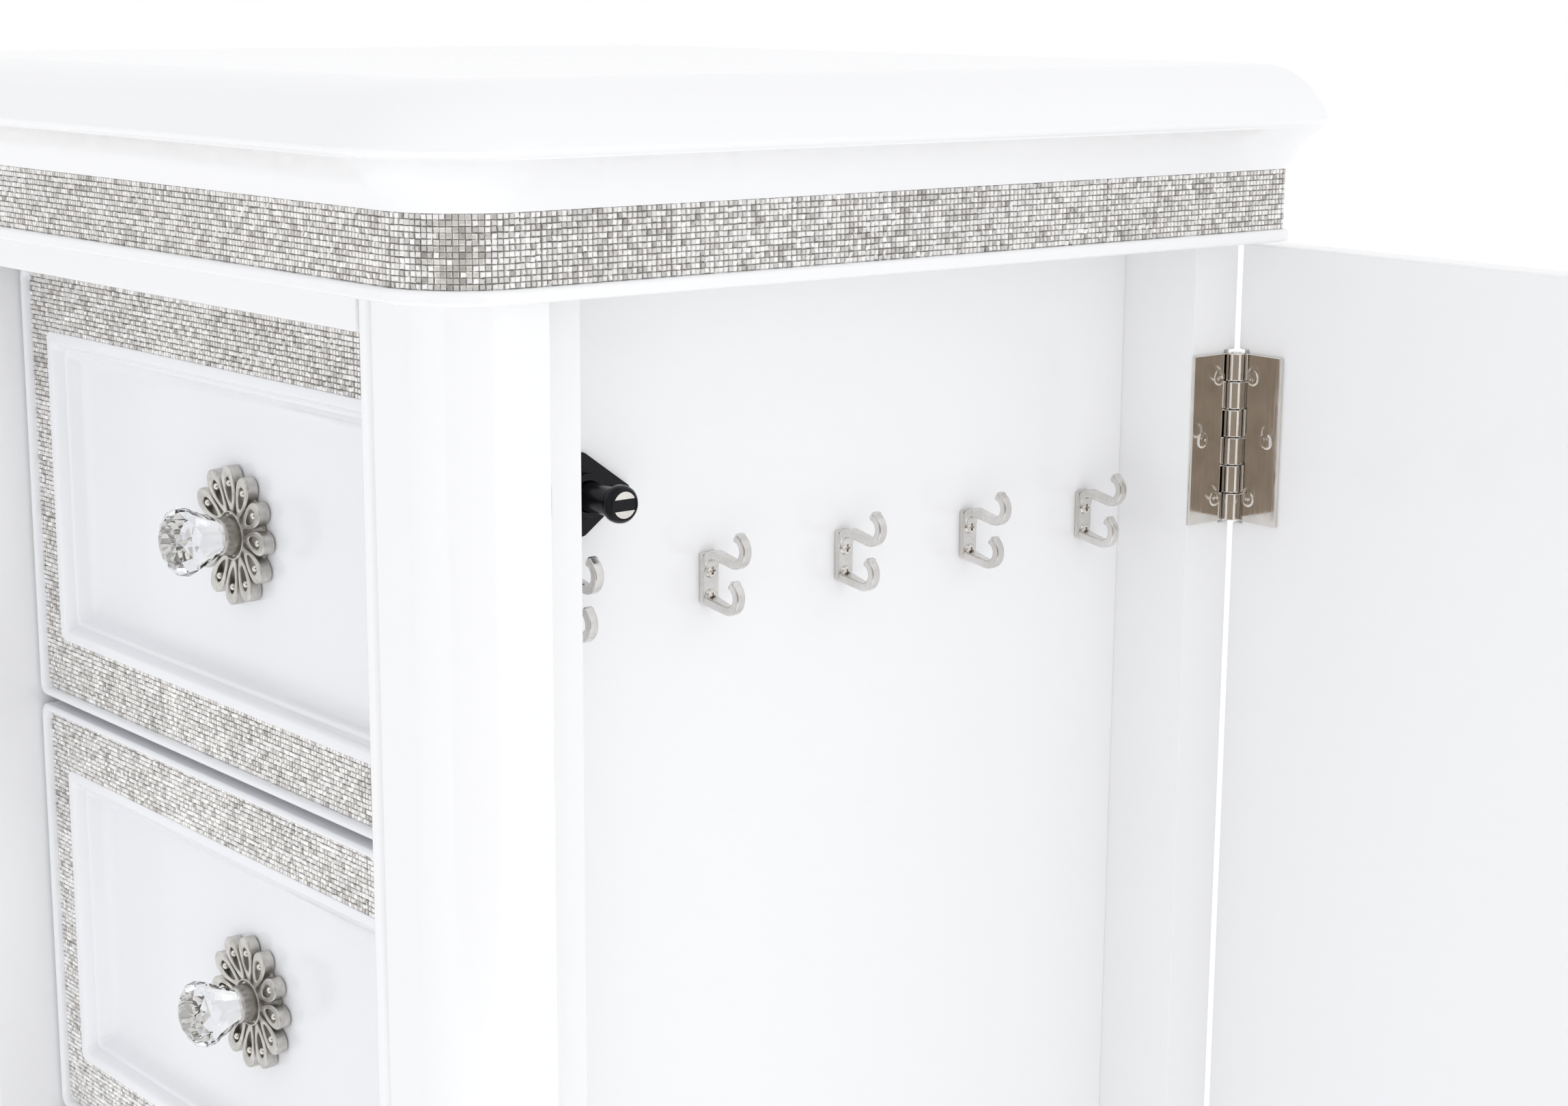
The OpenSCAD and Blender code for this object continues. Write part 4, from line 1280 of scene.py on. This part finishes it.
both_sides("latch_plunger", draw_plunger, on_plungers, ["latch_plunger"],
           "black_plastic", black_gloss)
both_sides("latch_poles", draw_poles, on_plungers, [], "nickel", bright_nickel)

# %% [markdown]
# ## Strikes on the doors
# The plunger's magnet holds a steel disc, which a short post carries from the
# door's inner face.

# %% Make the strikes
def draw_strike(bm):
    turned(bm, [(28.6, 0), (28.6, 7.4), (29.0, 7.9), (30.6, 8), (31.0, 7.6), (31.2, 4.6),
                (39.6, 4.6), (40.0, 7.4), (40.6, 8), (42, 8), (42, 0)], along_x, 40)


both_sides("strike", draw_strike, on_doors, ["strike"], "nickel", satin_nickel,
           open_right=True)

# %% [markdown]
# ## CAD nodes that stay
# The runners and the hinge pins already have the right shape, so they only get
# a better finish.

# %% Paint the nodes that stay
kept_nodes = {"drawer_runners": painted_board, "hinge_pins": bright_nickel}
for node, look in kept_nodes.items():
    for slot in frame["nodes"][node].material_slots:
        slot.material = look
print("painted:", list(kept_nodes))

# %% [markdown]
# ## Floor, light and surroundings
# White lacquer needs a bright, even room, and polished nickel needs something
# dark to reflect, or it turns white too. So the world is white to the eye and to
# glass, dimmer from the front for matt surfaces, and darker on the camera's side
# for reflections. A dark board does the same below the horizon. One large soft
# light from the right models the corner, and a low one lifts the moulding and
# the inside.

# %% Set the floor and the world
bm = bmesh.new()
bmesh.ops.create_grid(bm, x_segments=1, y_segments=1, size=30)
staged("floor", bm, pale_floor)

world = bpy.data.worlds.new("studio")
bpy.context.scene.world = world
world.use_nodes = True
tree = world.node_tree
tree.nodes.clear()
way = add(tree, "ShaderNodeTexCoord").outputs["Generated"]
ray = add(tree, "ShaderNodeLightPath")


def share_of(direction, start, full):
    """How far a direction lies towards the given one, from 0 to 1."""
    dot = add(tree, "ShaderNodeVectorMath", {0: way, 1: direction},
              operation="DOT_PRODUCT").outputs["Value"]
    return add(tree, "ShaderNodeMapRange", {"Value": dot, "From Min": start,
               "From Max": full}, interpolation_type="SMOOTHSTEP").outputs["Result"]


matt_room = mixed(tree, share_of((0, -1, 0), 0.0, 0.9), tint(0.94, 0.94, 0.945),
                  tint(0.66, 0.665, 0.68))
matt_room = mixed(tree, share_of((0, 0, 1), 0.4, 0.95), matt_room,
                  tint(1.03, 1.03, 1.035))
room = mixed(tree, share_of((0.75, -0.65, 0.1), 0.8, 0.95), tint(0.95, 0.95, 0.96),
             tint(0.34, 0.29, 0.24))
glass_room = mixed(tree, 0.3, tint(1, 1, 1), room)
seen = mixed(tree, ray.outputs["Is Diffuse Ray"], tint(1, 1, 1), matt_room)
seen = mixed(tree, ray.outputs["Is Glossy Ray"], seen, room)
seen = mixed(tree, ray.outputs["Is Transmission Ray"], seen, glass_room)
glow = add(tree, "ShaderNodeBackground", {"Color": seen, "Strength": 1.0})
add(tree, "ShaderNodeOutputWorld", {"Surface": glow.outputs[0]})


print("the world answers matt, glossy and glass rays in its own way")

# %% [markdown]
# ### Lights and the dark board
# Two soft rectangles of light do the rest, and the low one is hidden from
# reflections. The dark board is seen by reflections only.

# %% Set the lights
def soft_light(name, at, towards, width, height, power):
    """A large soft rectangle of light, aimed at a point."""
    data = bpy.data.lights.new(name, "AREA")
    data.shape = "RECTANGLE"
    data.size, data.size_y, data.energy = width, height, power
    made = bpy.data.objects.new(name, data)
    bpy.context.scene.collection.objects.link(made)
    made.matrix_world = facing(*at, Vector(at) - Vector(towards))
    return made


soft_light("side_light", (2.4, 0.3, 2.6), (0.1, 0, 1.0), 2.4, 1.8, 1.5)
low_fill = soft_light("low_fill", (1.9, -1.6, 0.45), (0.3, 0.1, 1.0), 2.0, 1.2, 6.5)
low_fill.visible_glossy = False

# A dark board stands beside the camera, for the polished metal to reflect
bm = bmesh.new()
board(bm, (-1.5, -0.02, 0.0), (1.5, 0.02, 1.35), 0.01)
bm.transform(Matrix.Translation((1.75, -1.65, 0)) @ Matrix.Rotation(yaw, 4, "Z"))
dark_board = staged("dark_board", bm, finish("dark_board", cloth, 0.3, {
    "Color": tint(0.36, 0.305, 0.25), "Dark": tint(0.32, 0.27, 0.22), "Gloss": 0.9}))
dark_board.visible_camera = dark_board.visible_diffuse = False
dark_board.visible_shadow = dark_board.visible_transmission = False
bpy.context.scene.view_settings.view_transform = "Standard"
print("staged: floor, dark board, two lights and the world")

# %% [markdown]
# ## CAD nodes left plain
# Last, the CAD nodes that are still shown and were neither replaced nor given a new finish are
# listed.

# %% List the plain nodes
left_plain = sorted(name for name, node in frame["nodes"].items()
                    if not node.hide_render and name not in kept_nodes)
print("CAD nodes still plain:", left_plain)
